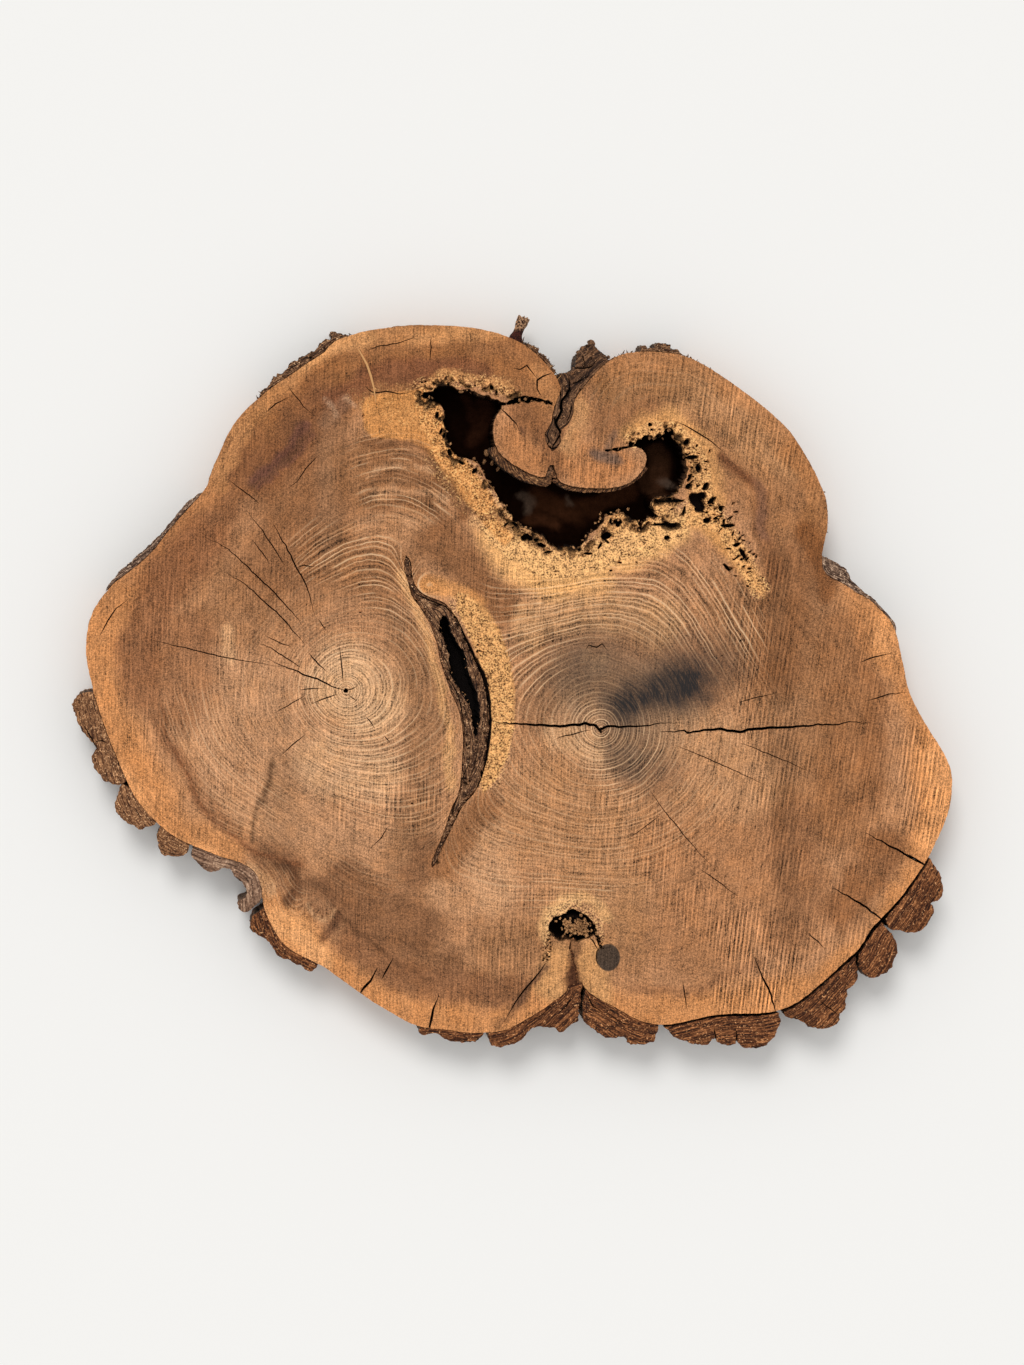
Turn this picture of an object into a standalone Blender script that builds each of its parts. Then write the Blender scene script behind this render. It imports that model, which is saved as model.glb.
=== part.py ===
"""A wide slice sawn across a tree whose two stems had grown together, lying on its sawn underside.

The wood is one solid. An old wound left a hollow in it, with a shelf of rotten wood for a floor, and between
the stems lies a lens of bark that was grown over, with a slit down its middle. Bark is left on the rim in
plates. Each plate is a solid of its own, split from the next one where a furrow runs down to the wood, and
along the lower right the plates have dried away from the wood at their upper edge.

X runs across the slice and Y up the picture that was taken of its face. The slice rests on Z = 0.
"""

import math

import bmesh
import bpy

# Driving sizes, in metres
INCH = 0.0254
WIDTH = 42 * INCH  # of the upper face, over the bark
THICKNESS = 2.5 * INCH

# The outlines were read off the photograph by eye, so they are written in its pixels.
PICTURE_LEFT = 72
PICTURE_RIGHT = 952
PICTURE_CENTRE = (512, 682)
PIXEL = WIDTH / (PICTURE_RIGHT - PICTURE_LEFT)

# How the solids are made
RIM_STEP = 0.0085  # between the points of a smoothed outline
FINE_STEP = 0.0055
GAP = 0.0005  # between the wood and a piece that touches it
SHRINK = 0.0008  # bark dries to a little less than the wood's thickness
OVERCUT = 0.006  # a cutter reaches this far past a face that it opens
MITRE_LEAST = 0.25  # keeps an offset line short of the tip of a sharp corner
LEVELS = 4  # rings of points up the side of the wood and of a bark plate

# How the trunk wanders between the two saw cuts
LEAN = (-0.0050, 0.0040)  # from the upper face to the lower one
SWELL = 0.0018
SWELL_LENGTH = 0.29

# How far down the openings of the upper face reach, as heights above the underside or as depths
SHELF = 0.011
SLIT_FLOOR = 0.010
POCKET_FLOOR = 0.030
PIT_DEPTH = 0.016
CHECK_DEPTH = 0.022

# Colours of the wood and of what grew on it, as linear red, green and blue
WOOD = (0.36, 0.18, 0.085)
BARK = (0.105, 0.052, 0.030)
GREY_BARK = (0.16, 0.115, 0.085)
INNER_BARK = (0.20, 0.105, 0.052)
TWIG = (0.16, 0.075, 0.045)

WOOD_RIM = [
    # the upper left lobe
    (208, 483), (213, 468), (221, 449), (231, 428), (243, 412), (256, 400), (272, 387), (290, 375),
    (307, 363), (324, 352), (333, 342), (350, 335), (368, 330), (390, 327), (415, 325), (445, 325),
    (472, 327), (495, 332), (512, 338), (527, 346), (540, 357), (550, 368), (557, 378), (561, 389),
    # down into the crotch between the lobes and up again
    (557, 399), (553, 411), (551, 423), (545, 432), (546, 442), (552, 451), (558, 447), (562, 439),
    (560, 431), (567, 425), (573, 415), (574, 403), (578, 394), (585, 385), (593, 376), (602, 366),
    # the upper right lobe
    (612, 359), (625, 353), (645, 351), (665, 352), (683, 355), (700, 362), (718, 373), (737, 386),
    (757, 401), (775, 416), (790, 431), (802, 449), (812, 466), (820, 483), (826, 498), (828, 515),
    (827, 530), (824, 543), (822, 556), (823, 569), (830, 577),
    # the right flank
    (843, 583), (856, 592), (868, 598), (879, 608), (890, 620), (897, 635), (900, 650), (904, 668),
    (907, 684), (913, 700), (923, 719), (934, 737), (944, 753), (951, 770), (952, 787), (950, 805),
    (944, 824), (935, 843), (926, 861), (913, 880), (899, 899), (883, 916), (870, 930), (860, 947),
    (844, 962), (829, 976), (813, 990), (797, 1002), (778, 1010), (757, 1013), (735, 1013),
    (712, 1015), (690, 1020), (668, 1024), (650, 1023), (635, 1018), (619, 1009), (604, 1001),
    (592, 994), (584, 986),
    # up the ingrown seam at the foot and down again
    (580, 975), (578, 960), (577, 947), (573, 935), (570, 947), (569, 962), (569, 978), (567, 990),
    # the foot and the fold
    (556, 999), (541, 1010), (524, 1020), (507, 1029), (488, 1032), (466, 1032), (445, 1029),
    (424, 1027), (407, 1021), (391, 1012), (374, 1002), (357, 990), (340, 978), (325, 967),
    (311, 960), (297, 953), (284, 944), (275, 931), (268, 917), (263, 903), (262, 891), (259, 878),
    (251, 868), (238, 861), (221, 856), (203, 849), (186, 842), (170, 833), (155, 820), (142, 806),
    # the left flank
    (132, 791), (124, 774), (116, 755), (108, 735), (101, 715), (95, 697), (91, 680), (87, 662),
    (86, 645), (88, 627), (94, 609), (104, 594), (114, 583), (127, 573), (141, 562), (155, 548),
    (168, 531), (181, 516), (194, 502), (204, 490),
]

HOLLOW = [
    # the left chamber's roof
    (423, 393), (432, 388), (444, 386), (458, 388), (474, 391), (489, 395), (500, 399), (502, 406),
    # round the left horn of callus, into the cleft and round the right horn
    (498, 413), (494, 421), (493, 432), (495, 443), (500, 453), (509, 461), (520, 468), (532, 474),
    (544, 477), (548, 469), (552, 463), (556, 469), (558, 479), (566, 484), (580, 487), (598, 488),
    (615, 487), (630, 482), (640, 473), (646, 463), (646, 454), (641, 448), (634, 445),
    # the right chamber
    (638, 440), (646, 437), (656, 439), (663, 433), (669, 429), (675, 437), (682, 446), (686, 458),
    (686, 472), (683, 485), (677, 493), (667, 497), (655, 499), (650, 503), (655, 510), (658, 518),
    (649, 518), (640, 526), (633, 521), (625, 512),
    # the trough's lower edge and the left chamber's flank
    (613, 514), (604, 519), (597, 527), (590, 535), (584, 543), (570, 545), (556, 547), (546, 542),
    (535, 535), (524, 527), (514, 517), (505, 508), (499, 498), (492, 487), (485, 476), (478, 464),
    (469, 457), (460, 456), (452, 446), (446, 434), (442, 422), (440, 410), (434, 402), (427, 397),
]
PITS = [
    [(688, 490), (697, 494), (705, 502), (706, 512), (700, 514), (693, 506)],
    [(719, 521), (728, 522), (735, 524), (728, 527), (720, 526)],
    [(734, 542), (740, 543), (745, 552), (748, 560), (743, 556), (737, 547)],
    [(721, 562), (727, 563), (732, 572), (726, 569)],
]

SEAM = [
    (406, 555), (411, 562), (412, 573), (415, 584), (423, 593), (434, 598), (444, 602), (452, 610),
    (459, 623), (465, 638), (473, 655), (480, 670), (485, 685), (489, 702), (490, 722), (488, 742),
    (485, 763), (480, 780), (474, 793), (464, 804), (457, 817), (450, 832), (442, 849), (434, 867),
    (431, 864), (436, 850), (442, 836), (447, 821), (452, 806), (458, 794), (461, 778), (462, 760),
    (463, 742), (462, 725), (458, 708), (451, 692), (445, 676), (440, 660), (437, 644), (430, 624),
    (420, 607), (412, 596), (408, 582), (404, 568),
]
SEAM_SLIT = [
    (443, 615), (448, 618), (451, 630), (458, 642), (464, 655), (466, 667), (472, 682), (477, 695),
    (479, 710), (478, 727), (476, 738), (474, 727), (472, 714), (468, 700), (461, 690), (454, 678),
    (451, 666), (449, 652), (444, 638), (440, 625),
]
POCKET = [
    (549, 931), (550, 922), (556, 916), (564, 914), (572, 909), (581, 912), (590, 917), (595, 925),
    (594, 934), (585, 938), (576, 941), (567, 939), (558, 941),
]

# Drying checks, as the places they run through and their greatest width
CHECKS = {
    "heart": ([(496, 723), (540, 725), (575, 723), (601, 728), (640, 726), (676, 723), (702, 730), (745, 728),
               (790, 728), (830, 724), (866, 722)], 0.0030),
    "horn_left": ([(494, 404), (510, 402), (522, 399), (538, 400), (552, 403)], 0.0062),
    "horn_right": ([(642, 445), (628, 446), (617, 449), (604, 450)], 0.0024),
    "rim_fold": ([(358, 996), (364, 987), (371, 980), (376, 970)], 0.0026),
    "rim_foot": ([(429, 1033), (431, 1018), (432, 1008), (437, 997)], 0.0020),
    "rim_corner": ([(931, 868), (908, 856), (885, 843), (866, 833)], 0.0016),
    "rim_lower": ([(889, 924), (868, 909), (848, 897), (834, 889)], 0.0016),
    "rim_right": ([(776, 1013), (771, 995), (763, 977), (754, 956)], 0.0016),
}

# Bark plates: where each starts and ends on the wood's rim, its outer edge, and how far its top has peeled away
PLATES = {
    "bark_left_upper": ((94, 692), (126, 781), 0.0, [
        (85, 692), (76, 696), (72, 705), (76, 717), (82, 730), (90, 740), (98, 747), (93, 753),
        (92, 762), (98, 773), (106, 781), (116, 785)]),
    "bark_left_middle": ((131, 788), (156, 822), 0.0, [
        (122, 785), (118, 794), (115, 806), (118, 815), (125, 822), (133, 826), (141, 830), (146, 826),
        (153, 827)]),
    "bark_left_lower": ((161, 826), (189, 844), 0.0, [
        (157, 835), (160, 850), (167, 856), (178, 856), (187, 854)]),
    "bark_fold": ((193, 846), (262, 897), 0.0, [
        (192, 855), (198, 862), (204, 869), (213, 872), (223, 868), (231, 869), (234, 876), (241, 881),
        (245, 888), (247, 896), (240, 900), (237, 905), (242, 911), (252, 909)]),
    "bark_below_fold": ((264, 908), (318, 964), 0.0, [
        (255, 914), (250, 923), (250, 930), (260, 936), (270, 944), (279, 956), (291, 961), (301, 966),
        (309, 971), (316, 968)]),
    "bark_foot": ((421, 1027), (484, 1032), 0.0, [
        (419, 1032), (424, 1036), (431, 1033), (437, 1033), (444, 1039), (456, 1041), (469, 1042),
        (480, 1039)]),
    "bark_wedge_left": ((489, 1032), (583, 985), 0.0, [
        (490, 1043), (500, 1047), (514, 1044), (524, 1038), (531, 1029), (543, 1027), (553, 1028),
        (562, 1032), (570, 1026), (578, 1020), (580, 1006), (581, 993)]),
    "bark_wedge_right": ((587, 989), (659, 1024), 0.0, [
        (584, 997), (583, 1010), (585, 1021), (593, 1029), (603, 1036), (613, 1038), (624, 1036),
        (627, 1036), (628, 1043), (640, 1044), (652, 1042), (657, 1034)]),
    "bark_bottom": ((664, 1024), (779, 1010), 0.0030, [
        (668, 1031), (678, 1038), (690, 1043), (702, 1046), (710, 1044), (713, 1038), (717, 1039),
        (721, 1044), (729, 1046), (736, 1043), (738, 1040), (743, 1047), (755, 1048), (766, 1045),
        (775, 1036), (781, 1022)]),
    "bark_corner_lower": ((783, 1008), (853, 953), 0.0042, [
        (786, 1018), (796, 1019), (804, 1022), (811, 1027), (823, 1029), (834, 1027), (840, 1021),
        (840, 1014), (846, 1009), (847, 999), (849, 989), (855, 984), (858, 972)]),
    "bark_corner_middle": ((857, 950), (880, 920), 0.0042, [
        (863, 973), (875, 977), (888, 971), (896, 957), (896, 942), (889, 931)]),
    "bark_corner_upper": ((884, 916), (928, 857), 0.0036, [
        (889, 927), (900, 931), (914, 933), (924, 928), (932, 918), (935, 909), (931, 903), (938, 902),
        (943, 893), (943, 881), (939, 871), (932, 861)]),
    "bark_right_notch": ((823, 556), (896, 632), 0.0, [
        (829, 558), (840, 564), (848, 570), (853, 580), (862, 589), (873, 597), (881, 606), (890, 616),
        (896, 624)]),
    "bark_upper_left": ((106, 591), (202, 492), 0.0, [
        (109, 583), (121, 570), (136, 557), (151, 543), (166, 527), (181, 509), (197, 494)]),
    "fringe_upper_left": ((259, 397), (349, 335), 0.0, [
        (261, 390), (270, 385), (274, 376), (287, 371), (292, 363), (303, 356), (315, 350), (320, 344),
        (330, 338), (332, 332), (342, 332)]),
    "fringe_crotch": ((524, 344), (554, 374), 0.0, [
        (527, 341), (535, 345), (543, 353), (550, 361), (556, 371)]),
    "fringe_upper_right": ((641, 351), (684, 356), 0.0, [
        (644, 345), (651, 347), (657, 345), (664, 341), (671, 347), (679, 351)]),
    "bark_crotch": ((558, 382), (609, 361), 0.0, [
        (559, 373), (568, 372), (575, 368), (577, 356), (584, 350), (587, 343), (595, 344), (599, 350),
        (606, 354)]),
}
GREY_PLATES = ("bark_fold", "bark_right_notch", "bark_upper_left")
RIPPLE = 0.0016  # how far a plate's outer edge wanders up its side

# The callus rolled inwards with its own bark on, which is left as a skin along each horn
SKINS = {
    "skin_left_horn": ((496, 445), (546, 473), [
        (489, 449), (494, 459), (503, 468), (515, 476), (530, 483), (544, 486), (551, 484), (552, 472)]),
    "skin_right_horn": ((559, 480), (645, 465), [
        (560, 486), (575, 491), (592, 492), (612, 491), (627, 486), (640, 478), (648, 468)]),
}

TWIG_FOOT = (516.9, 339.9)
TWIG_TIP = (525, 317)
TWIG_RADIUS = 0.0052
TWIG_SIDES = 10


def clear_scene():
    for thing in list(bpy.data.objects):
        bpy.data.objects.remove(thing)


def material(name, colour, roughness=0.75):
    made = bpy.data.materials.new(name)
    made.use_nodes = True
    shader = made.node_tree.nodes["Principled BSDF"]
    shader.inputs["Base Color"].default_value = (*colour, 1)
    shader.inputs["Roughness"].default_value = roughness
    return made


def at(pixel):
    """A place on the photograph, in metres from the middle of the slice."""
    return ((pixel[0] - PICTURE_CENTRE[0]) * PIXEL, (PICTURE_CENTRE[1] - pixel[1]) * PIXEL)


def spaced(points, step, closed):
    """The same line with its points an even step apart."""
    line = points + points[:1] if closed else points
    lengths = [math.dist(a, b) for a, b in zip(line, line[1:])]
    count = max(2, round(sum(lengths) / step))
    even = []
    walked = 0.0
    part = 0
    for i in range(count if closed else count + 1):
        target = sum(lengths) * i / count
        while part < len(lengths) - 1 and walked + lengths[part] < target:
            walked += lengths[part]
            part += 1
        share = (target - walked) / lengths[part]
        (ax, ay), (bx, by) = line[part], line[part + 1]
        even.append((ax + (bx - ax) * share, ay + (by - ay) * share))
    return even


def flowing(pixels, step, closed=True):
    """A smooth line through places on the photograph, as a Catmull-Rom spline."""
    knots = [at(p) for p in pixels]
    last = len(knots) if closed else len(knots) - 1
    dense = []
    for i in range(last):
        if closed:
            a, b, c, d = (knots[(i + k) % len(knots)] for k in (-1, 0, 1, 2))
        else:
            a, b, c, d = (knots[min(max(i + k, 0), last)] for k in (-1, 0, 1, 2))
        for k in range(8):
            t = k / 8
            dense.append(tuple(
                0.5 * (2 * b[n] + (c[n] - a[n]) * t + (2 * a[n] - 5 * b[n] + 4 * c[n] - d[n]) * t**2
                       + (3 * b[n] - a[n] - 3 * c[n] + d[n]) * t**3)
                for n in (0, 1)))
    if not closed:
        dense.append(knots[-1])
    return spaced(dense, step, closed)


def outward(line, i, closed=True):
    """The unit normal at a point of a line that runs clockwise, pointing out of what it encloses."""
    before = line[i - 1] if closed else line[max(i - 1, 0)]
    after = line[(i + 1) % len(line)] if closed else line[min(i + 1, len(line) - 1)]
    dx, dy = after[0] - before[0], after[1] - before[1]
    length = math.hypot(dx, dy)
    return -dy / length, dx / length


def moved_out(line, i, offset):
    """A point of a closed line, moved so that the lines on both sides of it lie the offset further out."""
    nx, ny = outward(line, i)
    (ax, ay), (bx, by) = line[i - 1], line[i]
    across = (nx * (ay - by) + ny * (bx - ax)) / math.dist(line[i - 1], line[i])
    reach = offset / max(across, MITRE_LEAST)
    return bx + nx * reach, by + ny * reach


def leaned(x, y, z):
    """Where a point of the upper face lies at height z, as the trunk leans."""
    down = 1 - z / THICKNESS
    return x + LEAN[0] * down, y + LEAN[1] * down, z


def swollen(x, y, z):
    """Where a point of the rim lies at height z, as the trunk leans and swells."""
    wave = SWELL * math.sin(math.pi * z / THICKNESS)
    turn = 2 * math.pi / SWELL_LENGTH
    return leaned(x + wave * math.sin(turn * y + 1.0), y + wave * math.sin(turn * x), z)


def levels(low, high):
    return [low + (high - low) * i / (LEVELS - 1) for i in range(LEVELS)]


def solid(name, rings, look=None):
    """A closed solid through rings of points, from the lowest ring to the highest."""
    bm = bmesh.new()
    rows = [[bm.verts.new(p) for p in ring] for ring in rings]
    for lower, upper in zip(rows, rows[1:]):
        for i in range(len(lower)):
            bm.faces.new((lower[i - 1], lower[i], upper[i], upper[i - 1]))
    bm.faces.new(rows[0])
    bm.faces.new(rows[-1])
    bmesh.ops.recalc_face_normals(bm, faces=bm.faces)
    mesh = bpy.data.meshes.new(name)
    bm.to_mesh(mesh)
    bm.free()
    made = bpy.data.objects.new(name, mesh)
    bpy.context.scene.collection.objects.link(made)
    if look:
        mesh.materials.append(look)
        mesh.shade_smooth()
        mesh.set_sharp_from_angle(angle=math.radians(32))
    return made


def prism(name, outline, low, high, look=None):
    """A solid that runs straight along the trunk, from one height to another."""
    return solid(name, [[leaned(x, y, z) for x, y in outline] for z in (low, high)], look)


def cut(target, cutter):
    """Takes the cutter's shape out of the target for good, and clears the cutter away."""
    boolean = target.modifiers.new("cut", "BOOLEAN")
    boolean.operation = "DIFFERENCE"
    boolean.solver = "EXACT"
    boolean.object = cutter
    graph = bpy.context.evaluated_depsgraph_get()
    mesh = bpy.data.meshes.new_from_object(target.evaluated_get(graph))
    target.modifiers.remove(boolean)
    target.data = mesh
    bpy.data.objects.remove(cutter)


def foot_on(line, place):
    """Where a closed line passes nearest to a place: the point before, and the share of the way to the next."""
    best = None
    for i, (ax, ay) in enumerate(line):
        bx, by = line[(i + 1) % len(line)]
        dx, dy = bx - ax, by - ay
        share = ((place[0] - ax) * dx + (place[1] - ay) * dy) / (dx * dx + dy * dy)
        share = min(max(share, 0.0), 1.0)
        gap = math.dist(place, (ax + dx * share, ay + dy * share))
        if best is None or gap < best[0]:
            best = (gap, i, share)
    return best[1:]


def stretch(line, start, end, offset):
    """The shorter stretch of a clockwise line between two places on it, set off to its outer side."""
    (a, a_share), (b, b_share) = foot_on(line, at(start)), foot_on(line, at(end))
    count = len(line)
    if (b - a) % count > count / 2:
        points, normals = stretch(line, end, start, offset)
        return points[::-1], normals[::-1]

    def between(i, share):
        (ax, ay), (bx, by) = line[i], line[(i + 1) % count]
        length = math.dist(line[i], line[(i + 1) % count])
        nx, ny = -(by - ay) / length, (bx - ax) / length
        return (ax + (bx - ax) * share + nx * offset, ay + (by - ay) * share + ny * offset), (nx, ny)

    inside = []
    for k in range(1, (b - a) % count + 1):
        i = (a + k) % count
        inside.append((moved_out(line, i, offset), outward(line, i)))
    whole = [between(a, a_share)] + inside + [between(b, b_share)]
    return [p for p, n in whole], [n for p, n in whole]


def check_outline(places, width):
    """A drying check as a thin blade, widest a third of the way along and pointed at its ends."""
    line = flowing(places, RIM_STEP, closed=False)
    left, right = [], []
    for i, (x, y) in enumerate(line):
        share = i / (len(line) - 1)
        half = width / 2 * (0.12 + 0.88 * math.sin(math.pi * share**0.75))
        nx, ny = outward(line, i, closed=False)
        left.append((x + nx * half, y + ny * half))
        right.append((x - nx * half, y - ny * half))
    return left + right[::-1]


def make_wood(rim, hollow, look):
    rings = [[swollen(x, y, z) for x, y in rim] for z in levels(0, THICKNESS)]
    wood = solid("wood", rings, look)
    top = THICKNESS + OVERCUT
    cut(wood, prism("hollow", hollow, SHELF, top))
    cut(wood, prism("seam", flowing(SEAM, FINE_STEP), -OVERCUT, top))
    cut(wood, prism("pocket", flowing(POCKET, FINE_STEP), POCKET_FLOOR, top))
    for i, places in enumerate(PITS):
        cut(wood, prism(f"pit_{i}", flowing(places, FINE_STEP), THICKNESS - PIT_DEPTH, top))
    for name, (places, width) in CHECKS.items():
        cut(wood, prism(name, check_outline(places, width), THICKNESS - CHECK_DEPTH, top))
    return wood


def make_plate(name, rim, start, end, peel, outer, look):
    """A stretch of bark along the rim. Its top stands off by the peel, and its outer edge wanders up its side."""
    edge = flowing([start] + outer + [end], FINE_STEP, closed=False)[-2:0:-1]
    if peel:
        edge = edge[1:-1]
    rings = []
    for z in levels(SHRINK, THICKNESS - SHRINK):
        stand_off = peel * z / THICKNESS
        inner, normals = stretch(rim, start, end, GAP + stand_off)
        mean = [sum(n[k] for n in normals) for k in (0, 1)]
        ax, ay = (part / math.hypot(*mean) for part in mean)
        ring = list(inner)
        for i, (x, y) in enumerate(edge):
            wander = RIPPLE * math.sin(1.9 * i + 60 * z) * math.sin(math.pi * z / THICKNESS)
            move = wander + stand_off - peel
            ring.append((x + ax * move, y + ay * move))
        rings.append([swollen(x, y, z) for x, y in ring])
    return solid(name, rings, look)


def make_seam_bark(look):
    outline = flowing(SEAM, FINE_STEP)
    inside = [moved_out(outline, i, -GAP) for i in range(len(outline))]
    seam = prism("bark_seam", inside, SHRINK, THICKNESS - SHRINK, look)
    cut(seam, prism("slit", flowing(SEAM_SLIT, FINE_STEP), SLIT_FLOOR, THICKNESS + OVERCUT))
    return seam


def make_skin(name, hollow, start, end, outer, look):
    """The bark along a horn of callus. It stands in the hollow, on its shelf."""
    inner, _ = stretch(hollow, start, end, -GAP)
    edge = flowing([start] + outer + [end], FINE_STEP, closed=False)[1:-1]
    return prism(name, inner + edge[::-1], SHELF + GAP, THICKNESS - SHRINK, look)


def make_twig(look):
    """A broken stub that stands out of the rim, halfway up it."""
    foot, tip = at(TWIG_FOOT), at(TWIG_TIP)
    length = math.dist(foot, tip)
    along = ((tip[0] - foot[0]) / length, (tip[1] - foot[1]) / length)
    across = (-along[1], along[0])
    middle = THICKNESS * 0.6
    rings = []
    for share, girth in ((0.0, 1.05), (0.35, 0.78), (0.7, 0.86), (1.0, 0.92)):
        ring = []
        for k in range(TWIG_SIDES):
            angle = 2 * math.pi * k / TWIG_SIDES
            radius = TWIG_RADIUS * girth * (1 + 0.12 * math.sin(3 * angle + 4 * share))
            side, up = radius * math.cos(angle), radius * math.sin(angle)
            jag = 0.0022 * math.sin(2.3 * k) * (share == 1.0)
            reach = length * share + jag
            x, y, _ = leaned(foot[0] + along[0] * reach, foot[1] + along[1] * reach, middle)
            ring.append((x + across[0] * side, y + across[1] * side, middle + up))
        rings.append(ring)
    return solid("twig", rings, look)


def main():
    clear_scene()
    wood_look = material("wood", WOOD)
    bark_look = material("bark", BARK, 0.9)
    grey_look = material("grey_bark", GREY_BARK, 0.9)
    inner_look = material("inner_bark", INNER_BARK, 0.85)
    rim = flowing(WOOD_RIM, RIM_STEP)
    hollow = flowing(HOLLOW, FINE_STEP)
    make_wood(rim, hollow, wood_look)
    for name, (start, end, peel, outer) in PLATES.items():
        make_plate(name, rim, start, end, peel, outer, grey_look if name in GREY_PLATES else bark_look)
    make_seam_bark(bark_look)
    for name, (start, end, outer) in SKINS.items():
        make_skin(name, hollow, start, end, outer, inner_look)
    make_twig(material("twig", TWIG, 0.85))


main()
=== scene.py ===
# %% [markdown]
# # A slice sawn across a double trunk
#
# Two stems grew into one trunk. A chain saw cut a slice across it, so the face shows both hearts and
# their rings, the strip of bark that was shut in where the stems met, a hollow that rot has eaten, and
# the callus that rolled in over it. Thick plates of bark still hold to parts of the rim.
#
# The CAD model gives every outline and size. This lesson lays a finer skin over it. A photograph wrapped
# on the solids would look right from one side only, so the cracks and worm holes are cut into real
# meshes, the broad tones are brushed on with strokes, and the fine grain is worked out in the materials.

import math

import bmesh
import bpy
import numpy as np
from mathutils.geometry import delaunay_2d_cdt
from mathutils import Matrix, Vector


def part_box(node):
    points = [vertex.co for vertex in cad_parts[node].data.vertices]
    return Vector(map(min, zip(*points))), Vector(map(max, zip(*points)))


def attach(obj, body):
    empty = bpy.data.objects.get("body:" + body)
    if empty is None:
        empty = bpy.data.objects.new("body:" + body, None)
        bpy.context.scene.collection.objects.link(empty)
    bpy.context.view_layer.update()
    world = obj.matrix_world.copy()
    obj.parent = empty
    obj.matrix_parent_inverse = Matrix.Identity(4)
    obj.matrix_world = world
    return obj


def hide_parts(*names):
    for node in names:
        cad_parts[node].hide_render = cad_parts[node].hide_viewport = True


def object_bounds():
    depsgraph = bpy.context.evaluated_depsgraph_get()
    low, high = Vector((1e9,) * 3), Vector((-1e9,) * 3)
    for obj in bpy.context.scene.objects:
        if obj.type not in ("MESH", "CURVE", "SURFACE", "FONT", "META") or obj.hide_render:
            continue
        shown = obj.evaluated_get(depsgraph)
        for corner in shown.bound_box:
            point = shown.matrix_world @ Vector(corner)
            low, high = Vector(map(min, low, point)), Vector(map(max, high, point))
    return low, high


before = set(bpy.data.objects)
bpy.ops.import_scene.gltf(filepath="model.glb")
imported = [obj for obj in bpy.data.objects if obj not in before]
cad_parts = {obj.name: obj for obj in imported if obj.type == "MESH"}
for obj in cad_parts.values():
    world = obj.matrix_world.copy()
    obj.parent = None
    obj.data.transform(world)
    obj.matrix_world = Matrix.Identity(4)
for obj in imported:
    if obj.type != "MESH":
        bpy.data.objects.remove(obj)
cad_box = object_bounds()
LOW, HIGH = (np.array(corner) for corner in cad_box)
print("CAD box in mm:", np.round((HIGH - LOW) * 1000, 1))

# %% [markdown]
# ## Measuring on the photograph
#
# Places are read off the photograph in its pixels, because that is where the slice can be studied. One
# pixel is 1.212 mm on the face, and the middle of the slice lies at pixel (512, 682). The trunk was not a
# straight post, so a spot of the face is carried a little sideways on its way down to the underside.

# %% Pixels and metres
PIXEL = 0.00121227
MIDDLE = (512, 682)
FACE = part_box("wood")[1].z  # height of the sawn face
LEAN = (-0.005, 0.004)  # how far the trunk leans from the face to the underside
SWELL = 0.0018  # how far the flank bulges between them
SWELL_LENGTH = 0.16  # from one bulge to the next


def at(*places):
    """Places on the photograph as metres on the face."""
    return (np.array(places, float) - MIDDLE) * (PIXEL, -PIXEL)


def x_of(column):
    """A column of pixels as a place across the face."""
    return at((column, 0))[0][0]


def y_of(row):
    """A row of pixels as a place up the face."""
    return at((0, row))[0][1]


def leaned(spots, z):
    """Spots of the face carried down to height z, as the grain of the trunk leans."""
    return spots + np.outer(1 - z / FACE, LEAN)


def swollen(spots, z):
    """Spots of the rim carried down to height z, where the trunk also swells a little."""
    wave = SWELL * np.sin(math.pi * z / FACE)
    turn = 2 * math.pi / SWELL_LENGTH
    moved = spots + np.stack([wave * np.sin(turn * spots[:, 1] + 1.0), wave * np.sin(turn * spots[:, 0])], 1)
    return leaned(moved, z)


print("the face lies at", round(FACE * 1000, 1), "mm")

# %% [markdown]
# ## Reading the outlines from the CAD
#
# The upper face of a node is a flat patch of triangles. A side that only one of its triangles has is part
# of its outline, so walking along those sides gives one loop for the rim and one for each hole.

# %% Outlines of a node's upper face
UPRIGHT = 0.98  # the least that a flat face's normal points up
FLATNESS = 0.0005  # a face this near the top is part of it
MICRONS = 1e6  # points are matched as whole microns


def face_loops(node):
    """The outlines of a node's upper face, each as rows of x and y. The one with most points comes first."""
    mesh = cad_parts[node].data
    top = max(v.co.z for v in mesh.vertices)
    sides = set()
    for face in mesh.polygons:
        if face.normal.z > UPRIGHT and abs(face.center.z - top) < FLATNESS:
            ring = [tuple(round(c * MICRONS) for c in mesh.vertices[i].co[:2]) for i in face.vertices]
            sides.update(zip(ring, ring[1:] + ring[:1]))
    follow = {a: b for a, b in sides if (b, a) not in sides}
    loops = []
    while follow:
        start, here = follow.popitem()
        line = [start]
        while here != start:
            line.append(here)
            here = follow.pop(here)
        line = np.array(line) / MICRONS
        loops.append(np.roll(line, -int(line[:, 0].argmin()), 0))
    return sorted(loops, key=len, reverse=True)


wood_loops = face_loops("wood")
rim_raw, hollow_raw, seam_raw = wood_loops[:3]
print("points in the outlines of the wood:", [len(loop) for loop in wood_loops])

# %% [markdown]
# ## Tools for lines and for chance
#
# A few small tools serve every piece. Nature needs smooth random hills everywhere. Blender has noise of
# its own, but here whole arrays of points are asked at once, so the hills are worked out with NumPy.

# %% Lines
def walked(line, step, closed=True):
    """The same line with points an even step apart, corners kept."""
    ends = np.roll(line, -1, 0) if closed else line[1:]
    rows = []
    for a, b in zip(line, ends):
        count = max(1, round(math.dist(a, b) / step))
        rows.append(a + (b - a) * (np.arange(count) / count)[:, None])
    return np.concatenate(rows if closed else rows + [line[-1:]])


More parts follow.
